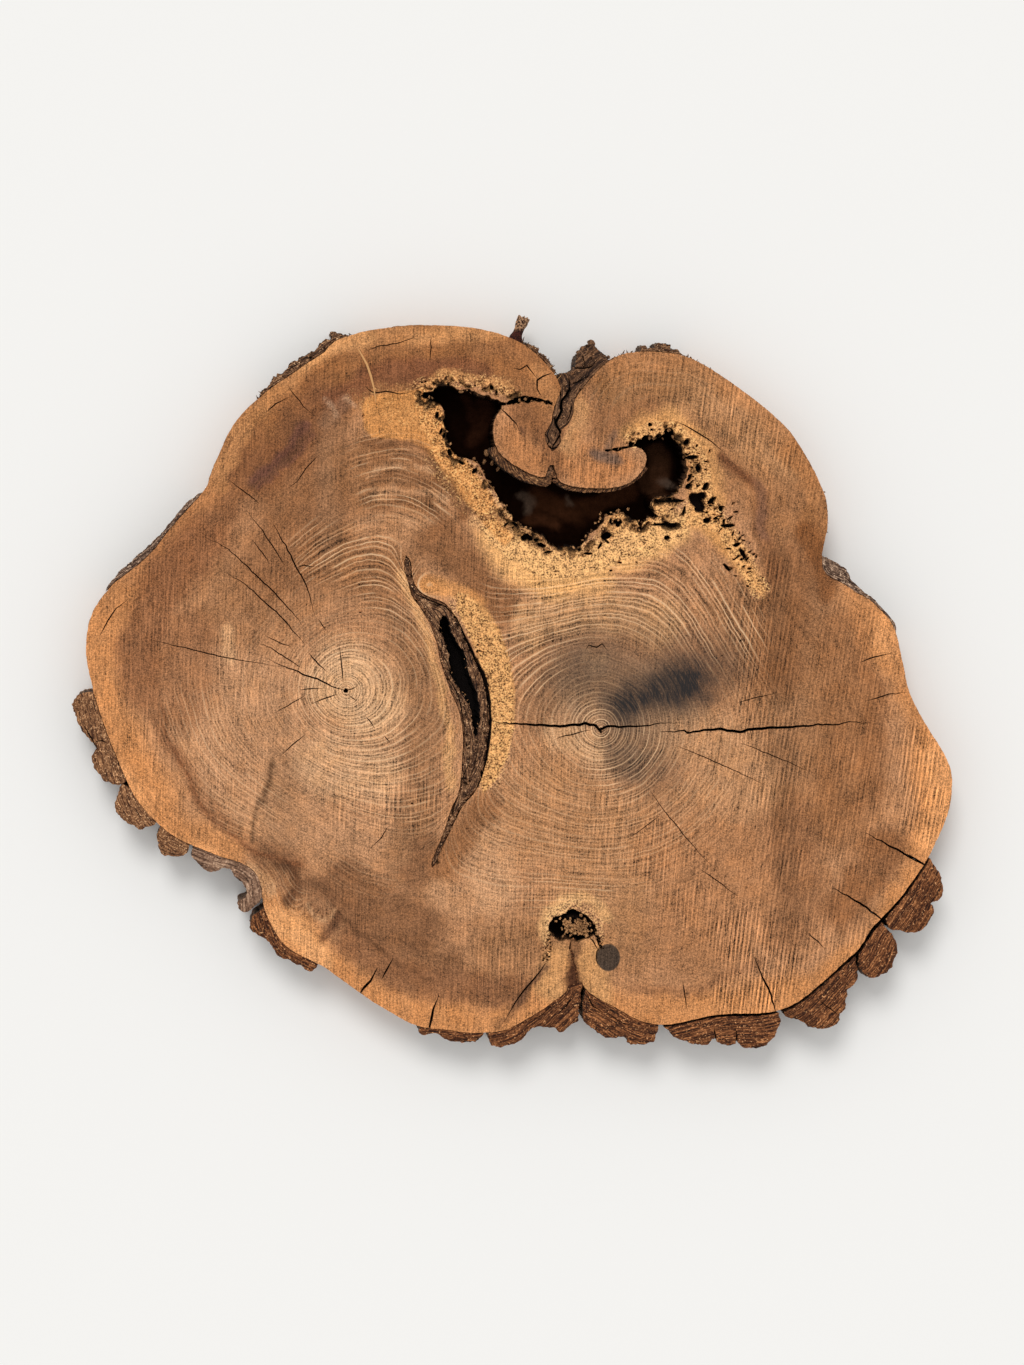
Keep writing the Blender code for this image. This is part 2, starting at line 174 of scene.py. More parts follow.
def reach(points, line, closed=False):
    """How far points lie from a line, and how far along it their nearest place is, from 0 to 1."""
    ends = np.roll(line, -1, 0) if closed else line[1:]
    best = np.full(len(points), 9.0)
    share = np.zeros(len(points))
    for i, (a, b) in enumerate(zip(line, ends)):
        d = b - a
        t = np.clip((points - a) @ d / max(d @ d, 1e-12), 0, 1)
        gap = np.hypot(*(points - a - t[:, None] * d).T)
        near = gap < best
        best[near] = gap[near]
        share[near] = (i + t[near]) / len(ends)
    return best, share


def away(points, loop):
    """How far points lie from a closed line."""
    return reach(points, loop, closed=True)[0]


def inside(points, loop):
    """Which points a closed line encloses."""
    x, y = points.T
    odd = np.zeros(len(points), bool)
    for (ax, ay), (bx, by) in zip(loop, np.roll(loop, -1, 0)):
        if ay != by:
            odd ^= ((ay > y) != (by > y)) & (x < (bx - ax) * (y - ay) / (by - ay) + ax)
    return odd


def outward(loop):
    """The direction out of a loop at each of its points, for a loop that runs anticlockwise."""
    d = np.roll(loop, -1, 0) - np.roll(loop, 1, 0)
    return np.stack([d[:, 1], -d[:, 0]], 1) / np.maximum(np.hypot(*d.T), 1e-9)[:, None]


print("the rim is", round(float(np.hypot(*(rim_raw - np.roll(rim_raw, 1, 0)).T).sum()), 2), "m round")

# %% Hills and slopes
SHUFFLE = np.array([12.9898, 78.233, 37.719])  # with these a sine jumps about as if by chance
SCATTER = 43758.5453
ASIDE = 57.3  # keeps the pattern's middle off the slice

rng = np.random.default_rng(42)


def hills(points, size, seed=0):
    """Smooth random hills from -1 to 1, one size across."""
    p = np.asarray(points) / size + ASIDE
    base = np.floor(p)
    part = p - base
    part = part * part * (3 - 2 * part)
    total = 0
    for corner in np.ndindex(*(2,) * p.shape[1]):
        weight = np.prod(np.where(corner, part, 1 - part), axis=1)
        seeds = (base + corner) @ SHUFFLE[:p.shape[1]] + seed * 4.1414
        total = total + weight * (np.sin(seeds) * SCATTER % 2 - 1)
    return total


def turned(x, y, angle):
    """A place, or many, turned anticlockwise round the middle."""
    return x * math.cos(angle) - y * math.sin(angle), x * math.sin(angle) + y * math.cos(angle)


def ease(low, high, value):
    """Rises smoothly from 0 at low to 1 at high."""
    t = np.clip((value - low) / (high - low), 0, 1)
    return t * t * (3 - 2 * t)


print("hills across the rim:", np.round(hills(rim_raw[::100], 0.02), 2))

# %% [markdown]
# ## The shapes on the face
#
# At the foot of the slice two lobes of wood have closed over a pocket of rot. The CAD leaves a narrow
# slot there. On the real slice the lobes touch, so the rim is led straight across the slot and the pocket
# becomes a shape of its own. The horns of callus keep a smooth edge, and elsewhere the hollow's edge is
# made ragged by three sizes of hills.

# %% Rim, hollow, seam and pocket
def nearest_of(line, place):
    """Which point of a line lies nearest to a place."""
    return int(np.argmin(np.hypot(*(line - place).T)))


SLOT = at((569, 984), (582, 982))  # where the slot opens in the rim
POCKET_MOUTH = at((571, 940), (575.5, 941))
slot_start, slot_stop = (nearest_of(rim_raw, place) for place in SLOT)
pocket_start, pocket_stop = (nearest_of(rim_raw, place) for place in POCKET_MOUTH)
pocket_raw = rim_raw[pocket_start:pocket_stop + 1]
rim_raw = np.concatenate([rim_raw[:slot_start + 1], rim_raw[slot_stop:]])

rim = walked(rim_raw, 0.0026)
rim = rim + outward(rim) * (hills(rim, 0.004, 1) * 0.00035)[:, None]
hollow = walked(hollow_raw, 0.0017)
horns = at((500, 408), (496, 420), (493, 432), (495, 443), (509, 461), (532, 474), (548, 478), (566, 484),
           (598, 488), (630, 482), (646, 463), (643, 452), (636, 444))
rotten = ease(0.006, 0.014, reach(hollow, horns)[0])
ragged = hills(hollow, 0.014, 2) * 0.0024 + hills(hollow, 0.0065, 3) * 0.0024
ragged = ragged + hills(hollow, 0.003, 15) * 0.0012
hollow = hollow + outward(hollow) * (ragged * rotten)[:, None]
seam = walked(seam_raw, 0.0022)
pocket = walked(pocket_raw, 0.0016)
pocket = pocket + outward(pocket) * (hills(pocket, 0.004, 4) * 0.0012)[:, None]
print("rim", len(rim), "hollow", len(hollow), "seam", len(seam), "pocket", len(pocket))

# %% [markdown]
# ## Cracks
#
# Drying splits the wood along its rays. A dark line in the colour would do for a distant view, but light
# that falls into a real groove also shades it from the side. So each crack is cut into the mesh, and its
# inside is also darkened in the colour as painted shade. Each crack is a line with a width and a depth, in
# millimetres. The mesh gets three lines for it, the two lips and the foot between them.

# %% Cracks: width, depth, places
CRACKS = [
    # the main check through the right heart, in two overlapping stretches
    (3.6, 22, [(495, 722), (528, 724), (560, 726), (588, 723), (596, 725), (601, 729), (608, 726),
               (637, 726), (650, 725), (663, 722), (675, 723)]),
    (3.6, 22, [(662, 731), (675, 731), (685, 729), (688, 732), (704, 730), (720, 729), (740, 731),
               (757, 728), (770, 727), (800, 726), (823, 724), (838, 725), (850, 721), (868, 723)]),
    (1.8, 6, [(556, 738), (575, 733), (592, 729)]),
    # the splits that open at the rim
    (3.4, 22, [(358, 996), (364, 987), (371, 980), (377, 968)]),
    (2.2, 14, [(382, 978), (387, 969), (393, 958)]),
    (3.3, 20, [(429, 1033), (431, 1020), (433, 1010), (438, 997)]),
    (2.6, 20, [(931, 868), (916, 859), (900, 851), (885, 843), (866, 833)]),
    (2.6, 20, [(889, 924), (868, 908), (858, 901), (840, 892), (832, 887)]),
    (2.6, 20, [(776, 1013), (771, 995), (763, 977), (754, 956)]),
    (1.7, 8, [(683, 981), (687, 1009)]),
    (1.7, 8, [(808, 932), (825, 948)]),
    (1.8, 8, [(860, 662), (875, 656), (892, 653)]),
    (1.7, 6, [(868, 700), (888, 694), (906, 692)]),
    (1.8, 8, [(100, 635), (108, 620), (116, 608), (128, 599)]),
    (1.7, 7, [(266, 412), (276, 403), (288, 397)]),
    # rays of the left heart
    (2.3, 10, [(346, 690), (333, 686), (322, 681), (305, 674), (287, 667), (268, 659)]),
    (1.7, 7, [(302, 667), (286, 658), (271, 647), (258, 643)]),
    (1.5, 6, [(291, 647), (280, 642), (265, 635)]),
    (1.8, 8, [(304, 643), (291, 628), (278, 613), (260, 597), (243, 582), (224, 571)]),
    (1.8, 8, [(302, 624), (293, 613), (282, 600), (269, 587), (252, 571), (239, 558), (223, 545),
              (204, 536)]),
    (1.6, 6, [(286, 567), (271, 543), (260, 527), (247, 510)]),
    (1.5, 6, [(269, 563), (265, 556), (252, 539)]),
    (1.5, 6, [(260, 503), (245, 492), (229, 480)]),
    (1.6, 6, [(297, 567), (304, 565), (316, 566)]),
    (1.5, 6, [(319, 619), (326, 630)]),
    (1.5, 6, [(318, 455), (306, 468), (298, 480), (288, 488)]),
    (1.4, 5, [(288, 386), (296, 396), (304, 406), (312, 414)]),
    (1.6, 7, [(431, 336), (431, 348), (430, 362)]),
    (1.5, 6, [(366, 350), (378, 346), (396, 343), (412, 338), (420, 333)]),
    (1.4, 5, [(700, 868), (722, 884), (738, 896)]),
    (1.4, 5, [(738, 702), (757, 697), (777, 692)]),
    (1.9, 8, [(309, 653), (318, 663), (327, 672)]),
    (1.7, 7, [(343, 682), (342, 668), (339, 645)]),
    (1.5, 6, [(300, 689), (323, 688)]),
    (1.7, 7, [(337, 694), (325, 698), (312, 703)]),
    (1.5, 6, [(347, 690), (357, 686)]),
    (1.5, 6, [(349, 695), (357, 701)]),
    (1.5, 6, [(366, 716), (375, 728)]),
    (1.5, 6, [(384, 735), (391, 743)]),
    (1.6, 6, [(152, 640), (184, 647), (221, 656), (243, 660), (265, 664), (282, 667)]),
    (1.8, 8, [(305, 734), (293, 744), (281, 755)]),
    (1.5, 6, [(305, 695), (285, 707), (274, 713)]),
    (2.0, 9, [(273, 523), (282, 539), (291, 555), (297, 569), (304, 580), (309, 591), (312, 604),
              (315, 616)]),
    (1.5, 5, [(388, 826), (381, 838), (370, 848)]),
    # fine splits of the right heart
    (1.4, 5, [(650, 790), (668, 815), (690, 842), (712, 866)]),
    (1.4, 5, [(676, 745), (705, 757), (735, 770), (768, 786)]),
    (1.4, 5, [(740, 742), (780, 758), (812, 772)]),
    (1.7, 7, [(586, 649), (589, 644), (597, 647), (602, 643), (608, 650)]),
    (1.4, 5, [(660, 815), (640, 830), (630, 837)]),
    # round the horns of callus and the crotch
    (4.2, 26, [(523, 399), (532, 397), (541, 400), (550, 403)]),
    (2.1, 9, [(501, 408), (510, 417), (517, 424), (519, 429)]),
    (1.7, 7, [(513, 368), (520, 369), (527, 365), (533, 373), (538, 379)]),
    (2.3, 10, [(552, 372), (543, 376), (537, 380), (537, 389), (542, 397)]),
    (2.2, 9, [(634, 445), (625, 448), (617, 449), (604, 449)]),
    (1.9, 8, [(678, 422), (695, 430), (712, 441), (724, 452)]),
    (1.8, 7, [(365, 386), (372, 392), (385, 391), (400, 394), (414, 390)]),
    # the seam between the lower lobes, and the cracks that run on from the pocket
    (2.6, 18, [(571, 940), (570, 948), (573, 954), (573, 960), (571, 954)]),
    (2.0, 12, [(573, 960), (575, 966), (577, 974), (576, 985)]),
    (2.5, 9, [(546, 962), (541, 970), (533, 980), (524, 990), (516, 1001), (505, 1020)]),
    (3.9, 14, [(592, 922), (594, 932), (599, 941), (601, 949)]),
    (1.6, 7, [(601, 945), (597, 951), (596, 960), (599, 967)]),
    (1.8, 8, [(590, 936), (594, 943), (599, 950)]),
]
print("cracks:", len(CRACKS))

# %% [markdown]
# ## Soft wood
#
# Round the hollow, and on the seam's right side, rot has left the wood pale and crumbling. Its zones are
# brushed on by soft strokes: half width in pixels, strength, and the places that the stroke passes. Three
# zones end at a plain edge, so these are outlines with a colour, a strength and the blur of their edge.

# %% Strokes and patches of soft wood
PUNK = [
    # strokes where the wood is soft: half width in pixels, strength, places
    (17, 1.0, [(424, 388), (430, 412), (443, 445), (468, 473), (488, 503)]),
    (26, 1.0, [(488, 508), (512, 536), (545, 558), (580, 560), (612, 548), (645, 536), (672, 524)]),
    (18, 1.0, [(655, 512), (690, 512), (712, 516)]),
    (15, 0.95, [(704, 500), (724, 528), (742, 558), (760, 588)]),
    (9, 0.8, [(425, 384), (450, 379), (480, 383), (505, 391), (518, 396)]),
    (15, 0.95, [(634, 440), (655, 430), (676, 432), (693, 450), (701, 475), (703, 502)]),
    (16, 1.0, [(612, 530), (632, 518), (652, 508)]),
    (32, 0.34, [(500, 530), (530, 560), (575, 575), (625, 562), (665, 548)]),
    (24, 0.36, [(372, 404), (400, 412), (430, 420)]), (16, 0.42, [(434, 460), (462, 500), (490, 540)]),
    (11, 0.4, [(352, 394), (385, 388), (420, 384)]), (9, 0.45, [(440, 372), (475, 374), (510, 382)]),
    (8, 0.9, [(548, 930), (550, 918), (560, 909), (574, 904), (590, 911), (598, 922)]),
    (5, 0.8, [(549, 932), (546, 945), (546, 960)]), (5, 0.7, [(598, 925), (602, 938)]),
    (20, 1.0, [(462, 606), (482, 630), (494, 658), (500, 690), (501, 722), (497, 752), (488, 776)]),
]
PATCHES = [
    ("soft wood to the left", (204, 140, 80), 0.9, 2, [
        (362, 405), (366, 398), (380, 393), (400, 391), (425, 388), (436, 396), (446, 420), (458, 448),
        (474, 470), (490, 492), (502, 516), (514, 538), (504, 546), (491, 532), (476, 514), (461, 498),
        (447, 480), (436, 462), (424, 448), (408, 440), (390, 438), (372, 437), (364, 428)]),
    ("golden wood by the seam", (206, 149, 92), 0.95, 2, [
        (458, 592), (474, 598), (488, 610), (500, 630), (509, 655), (515, 690), (514, 725), (508, 755),
        (497, 778), (483, 793), (479, 776), (487, 748), (488, 720), (485, 692), (479, 662), (469, 634),
        (456, 608)]),
    ("soft wood to the right", (208, 150, 92), 0.9, 5, [
        (690, 498), (704, 500), (720, 513), (734, 530), (747, 550), (757, 570), (766, 588), (764, 596),
        (752, 590), (740, 574), (727, 558), (712, 542), (700, 530), (684, 524)]),
]
print("strokes of soft wood:", len(PUNK), "and patches:", len(PATCHES))

# %% Brushes
def stroked(points, strokes, core=0.35):
    """The strength of the strongest brush stroke at each point. A stroke fades out beyond its core."""
    total = np.zeros(len(points))
    for width, strength, places in strokes:
        far, _ = reach(points, at(*places))
        total = np.maximum(total, strength * (1 - ease(core, 1.0, far / (width * PIXEL))))
    return total


def soaked(points, strokes):
    """Strokes that run into one another like ink in wet wood."""
    clean = np.ones(len(points))
    for stroke in strokes:
        clean *= 1 - stroked(points, [stroke], 0.0)
    return 1 - clean


def punky(points):
    """How soft the wood is, from 0 for sound to 1 for crumbling."""
    wander = hills(points, 0.02, 5) * 0.16 + hills(points, 0.007, 6) * 0.14
    return np.clip(stroked(points + wander[:, None] * 0.012, PUNK) * (1 + 1.2 * wander), 0, 1)


def patched(points, outline, blur):
    """Which points an outline holds, from 0 to 1, with an edge that is twice blur wide, in pixels."""
    loop = at(*outline)
    far = away(points, loop) * np.where(inside(points, loop), 1, -1)
    return ease(-blur * PIXEL, blur * PIXEL, far)


print("softest spot of the rim:", round(float(punky(rim).max()), 2))

# %% [markdown]
# ## Worm holes
#
# Worms and rot leave holes in the soft zone. The larger ones are listed as ovals: the middle, the two
# radii in pixels, the turn in degrees. Small ones are strewn where the wood is soft, most of all near the
# hollow, because placing hundreds by hand would only imitate chance.

# %% Worm holes given one by one: middle, radii, turn
HOLES = [
    (450, 452, 2.6, 4.0, 20), (673, 501, 14, 1.6, 4), (664, 524, 16, 1.5, 2), (653, 514, 2.0, 6, 15),
    (684, 511, 1.8, 6, -10), (697, 501, 6, 11, 40), (700, 497, 8, 5, 30), (728, 525, 8, 2.1, 2),
    (737, 544, 4, 2.1, 20), (743, 553, 2.2, 7.5, 33), (727, 567, 2.0, 6, 42), (721, 508, 2.6, 3, 20),
    (636, 513, 9, 6, 10), (650, 500, 9, 2.4, 5), (700, 508, 6, 4, 20), (707, 520, 4, 3, 10),
    (687, 442, 2.8, 4.2, -30), (692, 457, 7.5, 2.4, 5), (608, 534, 4.2, 3.0, -15), (618, 524, 2.6, 2.6, 0),
    (611, 570, 2, 1.2, 10), (620, 562, 2, 1.2, 0), (606, 540, 5, 1.2, -40), (640, 509, 5, 6, 0),
    (690, 477, 5, 2, 60), (689, 486, 4, 3, 30), (716, 517, 4, 1.0, 30), (733, 533, 3, 1.0, 70),
    (738, 556, 3, 1.0, 50), (763, 577, 1.2, 0.8, 0), (346, 690, 2.4, 2.4, 0), (601, 731, 1.6, 2.2, 0),
    (706, 486, 5, 3, 60), (712, 500, 6, 2.5, 40), (699, 468, 3, 5, 10), (435, 391, 3, 1.5, 20),
    (424, 396, 4, 1.2, -20), (437, 415, 2.2, 4, -10), (441, 431, 1.6, 4, -20), (462, 462, 3.5, 2, -30),
    (475, 470, 4, 2, 45), (506, 524, 4, 1.2, 45), (548, 552, 5, 1.2, 10), (588, 553, 5, 1.4, 0),
    (600, 545, 4, 1.5, 60), (528, 537, 6, 3, -35), (541, 545, 5, 2.5, -20), (515, 524, 4, 2, -45),
    (536, 540, 3, 2, 0), (606, 535, 6, 4, 20), (618, 521, 5, 3, -10),
    # pin holes in the sound wood
    (553, 641, 0.9, 0.9, 0), (412, 803, 1.4, 1.0, 0), (437, 861, 1.5, 2.2, 0), (360, 612, 0.9, 0.7, 0),
    (741, 640, 0.9, 0.9, 0), (760, 702, 0.8, 0.8, 0), (722, 655, 0.8, 0.8, 0), (740, 973, 0.9, 0.7, 0),
]
KNOT = (608.3, 957, 11.9, 13.8, 0)  # the dark round knot, given as an oval too
CHUNK = (669, 513, 19, 13, 5)  # a lump of soft wood that stands alone in a moat
print("holes placed by eye:", len(HOLES))

# %% Worm holes strewn by chance
HORN_FACE = at((560, 424), (600, 440), (637, 445), (650, 460), (642, 480), (600, 494), (540, 490), (500, 440),
               (520, 400))
NEAR_EDGE = 0.008  # holes grow rare this far from the hollow
strewn = []
tries = rng.uniform(at((355, 975))[0], at((775, 370))[0], (26000, 2))
soft = punky(tries)
soft[inside(tries, HORN_FACE)] = 0
chance = soft * (0.05 + 0.95 * np.exp(-away(tries, hollow) / NEAR_EDGE))
for spot in tries[rng.random(len(tries)) < chance * 0.10]:
    long = rng.uniform(0.8, 2.1) * (1.0 if rng.random() < 0.80 else 1.8)
    px, py = spot / (PIXEL, -PIXEL) + MIDDLE
    strewn.append((px, py, long, long * rng.uniform(0.4, 0.9), rng.uniform(0, 180)))

GALLERIES = [
    # where worms have bored side by side: middle, spread, how many
    ((716, 512), (12, 9), 26), ((742, 556), (8, 13), 22),
    ((700, 470), (6, 16), 16), ((480, 700), (3, 42), 20),
]
for px, py in np.concatenate([rng.normal(middle, spread, (count, 2)) for middle, spread, count in GALLERIES]):
    turn = rng.choice([0, 50]) + rng.normal(0, 14)
    strewn.append((px, py, rng.uniform(1.4, 3.6), rng.uniform(0.6, 1.1), turn))
for share in np.linspace(0, 1, 34):
    beside_pocket = (554 - 10 * share, 930 + 30 * share, 2.6), (593 + 9 * share, 924 + 24 * share, 1.4)
    for px, py, spread in beside_pocket:
        wide = rng.uniform(0.8, 1.6)
        px = px + rng.normal(0, spread)
        strewn.append((px, py, wide, wide * rng.uniform(0.5, 0.9), rng.uniform(0, 180)))
HOLES += strewn
print("worm holes:", len(HOLES), "of them strewn:", len(strewn))

# %% [markdown]
# ## How deep each spot lies
#
# The whole face is one height map, because each opening is reached from above. Inside the hollow and the
# pocket the map falls away in crumbling steps, inside a crack it falls to a sharp foot, and a worm hole is
# a small steep well. Each function below deepens the map where its own opening lies. It also notes which
# spots are rot, since rot has another colour than a clean split.

# %% The lines of the cracks, and the gap on the right side of the seam
HOLLOW_FLOOR = 0.011  # heights above the underside
POCKET_FLOOR = 0.030


def taper(share):
    """A crack is widest a little before its middle and thin at both ends."""
    return 0.18 + 0.82 * np.sin(math.pi * np.clip(share, 0, 1)**0.8)


def half_width(width, share):
    """Half of what a crack measures across at a share of its length, in metres, from its width in mm."""
    return width / 2000 * taper(share)


def crack_line(width, places, seed):
    """A crack's middle line with small steps to either side, where it jumps from fibre to fibre."""
    line = walked(at(*places), 0.003, closed=False)
    return line + hills(line, 0.006, seed)[:, None] * (0.0003 + 0.00025 * width) * np.array([0.6, 1.0])


def lips(line, width):
    """A crack's foot and its two lips, as open lines for the mesh to keep."""
    half = half_width(width, np.linspace(0, 1, len(line)))[:, None]
    along = np.gradient(line, axis=0)
    normal = np.stack([-along[:, 1], along[:, 0]], 1) / np.hypot(*along.T)[:, None]
    return [(line, False), (line + normal * half, False), (line - normal * half, False)]


def groove(points, line, width, depth):
    """How deep a crack is at each point, in metres, from its width and depth in mm."""
    far, share = reach(points, line)
    return depth / 1000 * taper(share) * np.clip(1 - far / half_width(width, share), 0, 1)


crack_lines = [crack_line(width, places, 10 + i) for i, (width, depth, places) in enumerate(CRACKS)]
seam_side = seam_raw[(seam_raw[:, 0] > x_of(446))]
seam_side = seam_side[np.argsort(-seam_side[:, 1])]
SEAM_MIDDLE = at((468, 786), (466, 690), (448, 596)).T[::-1]
gap_line = np.array([spot for spot in seam_side[::3] if y_of(786) < spot[1] < y_of(596)
                     and spot[0] > np.interp(spot[1], *SEAM_MIDDLE)])
print("lines of cracks:", len(crack_lines), "and points in the gap beside the seam:", len(gap_line))

# %% The hollow and the pocket
HEAP = at((565, 917), (580, 917), (592, 926), (580, 934), (568, 932))  # crumbs that lie in the pocket
HEAP_SLOPE = 0.007


def into_hollow(points, drop, rot):
    """The walls drop steeply below the horns. Elsewhere they are loose and drop in crumbling steps."""
    within = inside(points, hollow)
    spot = points[within]
    far = away(spot, hollow)
    x, y = spot.T
    loose = ease(y_of(480), y_of(500), y) + ease(x_of(500), x_of(470), x) + ease(x_of(642), x_of(655), x)
    loose = np.clip(loose, 0, 1)
    slope = 0.0011 + loose * (0.0022 + 0.0032 * (hills(spot, 0.022, 7) * 0.5 + 0.5))
    step = far / slope + hills(spot, 0.005, 8) * 0.22 * loose
    fall = np.where(far > 1e-5, np.clip(step, 0.05, 1)**0.8, 0) * (FACE - HOLLOW_FLOOR)
    floor = FACE - HOLLOW_FLOOR - 0.002 * hills(spot, 0.02, 9) - 0.002
    drop[within] = np.minimum(fall, floor)
    rot[within] = 1


def into_pocket(points, drop, rot):
    """A heap of crumbs fills the pocket's middle nearly up to the face."""
    within = inside(points, pocket)
    spot = points[within]
    far = away(spot, pocket)
    heap = np.exp(-(away(spot, HEAP) / HEAP_SLOPE)**2) + inside(spot, HEAP)
    floor = (FACE - POCKET_FLOOR) - np.clip(heap, 0, 1) * (0.0245 + 0.0035 * hills(spot, 0.0036, 11))
    wall = np.clip(far / 0.0026 + hills(spot, 0.004, 12) * 0.2, 0.12, 1) * (FACE - POCKET_FLOOR)
    drop[within] = np.minimum(floor, wall)
    rot[within] = 1


print("the hollow reaches", round((FACE - HOLLOW_FLOOR) * 1000, 1), "mm down")

# %% Cracks and the gap beside the seam
GAP_DEPTH = 0.010


def close_to(points, line, margin):
    """The numbers of the points in a line's box, which a margin makes wider."""
    return np.flatnonzero(((points > line.min(0) - margin) & (points < line.max(0) + margin)).all(1))


def into_cracks(points, drop, rot):
    for line, (width, depth, _) in zip(crack_lines, CRACKS):
        near = close_to(points, line, 0.004)
        drop[near] = np.maximum(drop[near], groove(points[near], line, width, depth))


def beside_seam(points, drop, rot):
    near = close_to(points, gap_line, 0.008)
    spot = points[near]
    far, share = reach(spot, gap_line)
    wide = (0.0030 + 0.0015 * hills(spot, 0.007, 19) + 0.0009 * hills(spot, 0.0028, 20)) * taper(share)
    drop[near] = np.maximum(drop[near], GAP_DEPTH * np.clip(1.15 - far / np.maximum(wide, 0.0004), 0, 1)**0.7)


print("the deepest crack goes", max(depth for _, depth, _ in CRACKS), "mm down")

# %% The chunk's moat, the crumbled edge and the worm holes
MOAT_DEPTH = 0.014
BITE_DEPTH = 0.0075
DEEPEST_HOLE = 0.016
HOLE_FLOOR = 0.62  # a worm hole's floor measures this share of its edge


def oval(hole, points):
    """How far points lie from an oval hole's middle, as a share of its edge."""
    x, y, long, short, turn = hole
    u, v = turned(*(points - at((x, y))[0]).T, -math.radians(turn))
    return np.hypot(u / (long * PIXEL), v / (short * PIXEL))


def round_chunk(points, drop, rot):
    """A moat that is broken here and there, where the chunk still holds to the wood."""
    moat = oval(CHUNK, points) + hills(points, 0.011, 18) * 0.24
    ring = ease(0.72, 0.86, moat) * (1 - ease(1.02, 1.2, moat)) * ease(-0.3, 0.3, hills(points, 0.010, 18))
    np.maximum(drop, ring * MOAT_DEPTH, out=drop)
    np.maximum(rot, ring, out=rot)


def along_hollow(points, drop, rot):
    """Soft wood has crumbled away in shallow bites next to the hollow."""
    bitten = punky(points) * np.exp(-(away(points, hollow) / 0.011)**2)
    bite = ease(0.05, 0.7, hills(points, 0.0075, 16) * 0.8 + hills(points, 0.0036, 17) * 0.6 + bitten * 0.35)
    shallow = bitten * bite * BITE_DEPTH
    np.maximum(drop, shallow, out=drop)
    np.maximum(rot, (shallow > 0.0006) * 1.0, out=rot)


def into_worm_holes(points, drop, rot):
    for hole in HOLES:
        size = max(hole[2:4]) * PIXEL + 0.001
        near = np.flatnonzero((np.abs(points - at(hole[:2])[0]) < size).all(1))
        if len(near):
            deep = min(DEEPEST_HOLE, 0.0035 + min(hole[2:4]) * PIXEL * 3.2)
            well = deep * (1 - ease(HOLE_FLOOR, 1.0, oval(hole, points[near])))
            drop[near] = np.maximum(drop[near], well)
            rot[near] = np.maximum(rot[near], (well > 0.0005) * 1.0)


OPENINGS = into_hollow, into_pocket, into_cracks, beside_seam, round_chunk, along_hollow, into_worm_holes


def sunk(points):
    """How far each spot of the wood lies below the sawn face, in metres, and how much of that is rot."""
    drop, rot = np.zeros(len(points)), np.zeros(len(points))
    for opening in OPENINGS:
        opening(points, drop, rot)
    return drop, rot


print("depth at the right heart:", round(float(sunk(at((601, 731)))[0][0]) * 1000, 1), "mm")

# %% [markdown]
# ## One slab tool for every piece
#
# The wood and each plate of bark are cut alike: an upper face, a lower face and a wall between them. A
# grid of squares would cut through every crack and rim. Blender's constrained Delaunay routine fills the
# face with triangles that keep every line it is given, and loose points set how fine the mesh is.

# %% Filling a face with triangles
ROW_SHARE = 0.87  # how far apart the rows of a honeycomb lie, as a share of its step
JITTER = 0.28  # and how far its points are moved by chance
SAME_POINT = 1e-7


def scattered(low, high, step, seed):
    """Points on a jittered honeycomb, so that no rows show."""
    draw = np.random.default_rng(seed)
    x, y = np.meshgrid(np.arange(low[0], high[0], step), np.arange(low[1], high[1], step * ROW_SHARE))
    x = x + (np.arange(len(x)) % 2)[:, None] * step / 2
    points = np.stack([x.ravel(), y.ravel()], 1)
    return points + draw.uniform(-JITTER, JITTER, points.shape) * step


def filled(loops, lines, loose):
    """Triangles over a face. Returns its points, its triangles, and where each loop's points ended up."""
    points, edges, starts = [], [], []
    count = 0
    for line, closed in [(loop, True) for loop in loops] + lines:
        starts.append(count)
        last = len(line) if closed else len(line) - 1
        edges += [(count + i, count + (i + 1) % len(line)) for i in range(last)]
        points.append(line)
        count += len(line)
    points = np.concatenate(points + [loose])
    flat, _, faces, origin, _, _ = delaunay_2d_cdt([tuple(p) for p in points], edges, [], 1, SAME_POINT)
    flat, faces = np.array([tuple(p) for p in flat]), np.array([tuple(f) for f in faces])
    for hole in loops[1:]:
        faces = faces[~inside(flat[faces].mean(1), hole)]
    place = np.full(len(points), -1)
    for i, sources in enumerate(origin):
        for source in sources:
            place[source] = i
    return flat, faces.tolist(), [place[s:s + len(loop)] for s, loop in zip(starts, loops)]


print("points in 1 cm by 1 cm at a step of 1 mm:", len(scattered((0, 0), (0.01, 0.01), 0.001, 0)))

# %% Slabs
ON_FACE, ON_WALL, BELOW = 0, 1, 2  # the parts of a slab


def linked(name, data):
    """An object with the given mesh, light or camera, placed in the scene."""
    thing = bpy.data.objects.new(name, data)
    bpy.context.scene.collection.objects.link(thing)
    return thing


def meshed(name, points, faces):
    """A mesh from a list of points and a list of faces."""
    mesh = bpy.data.meshes.new(name)
    mesh.from_pydata(points, [], faces)
    return mesh


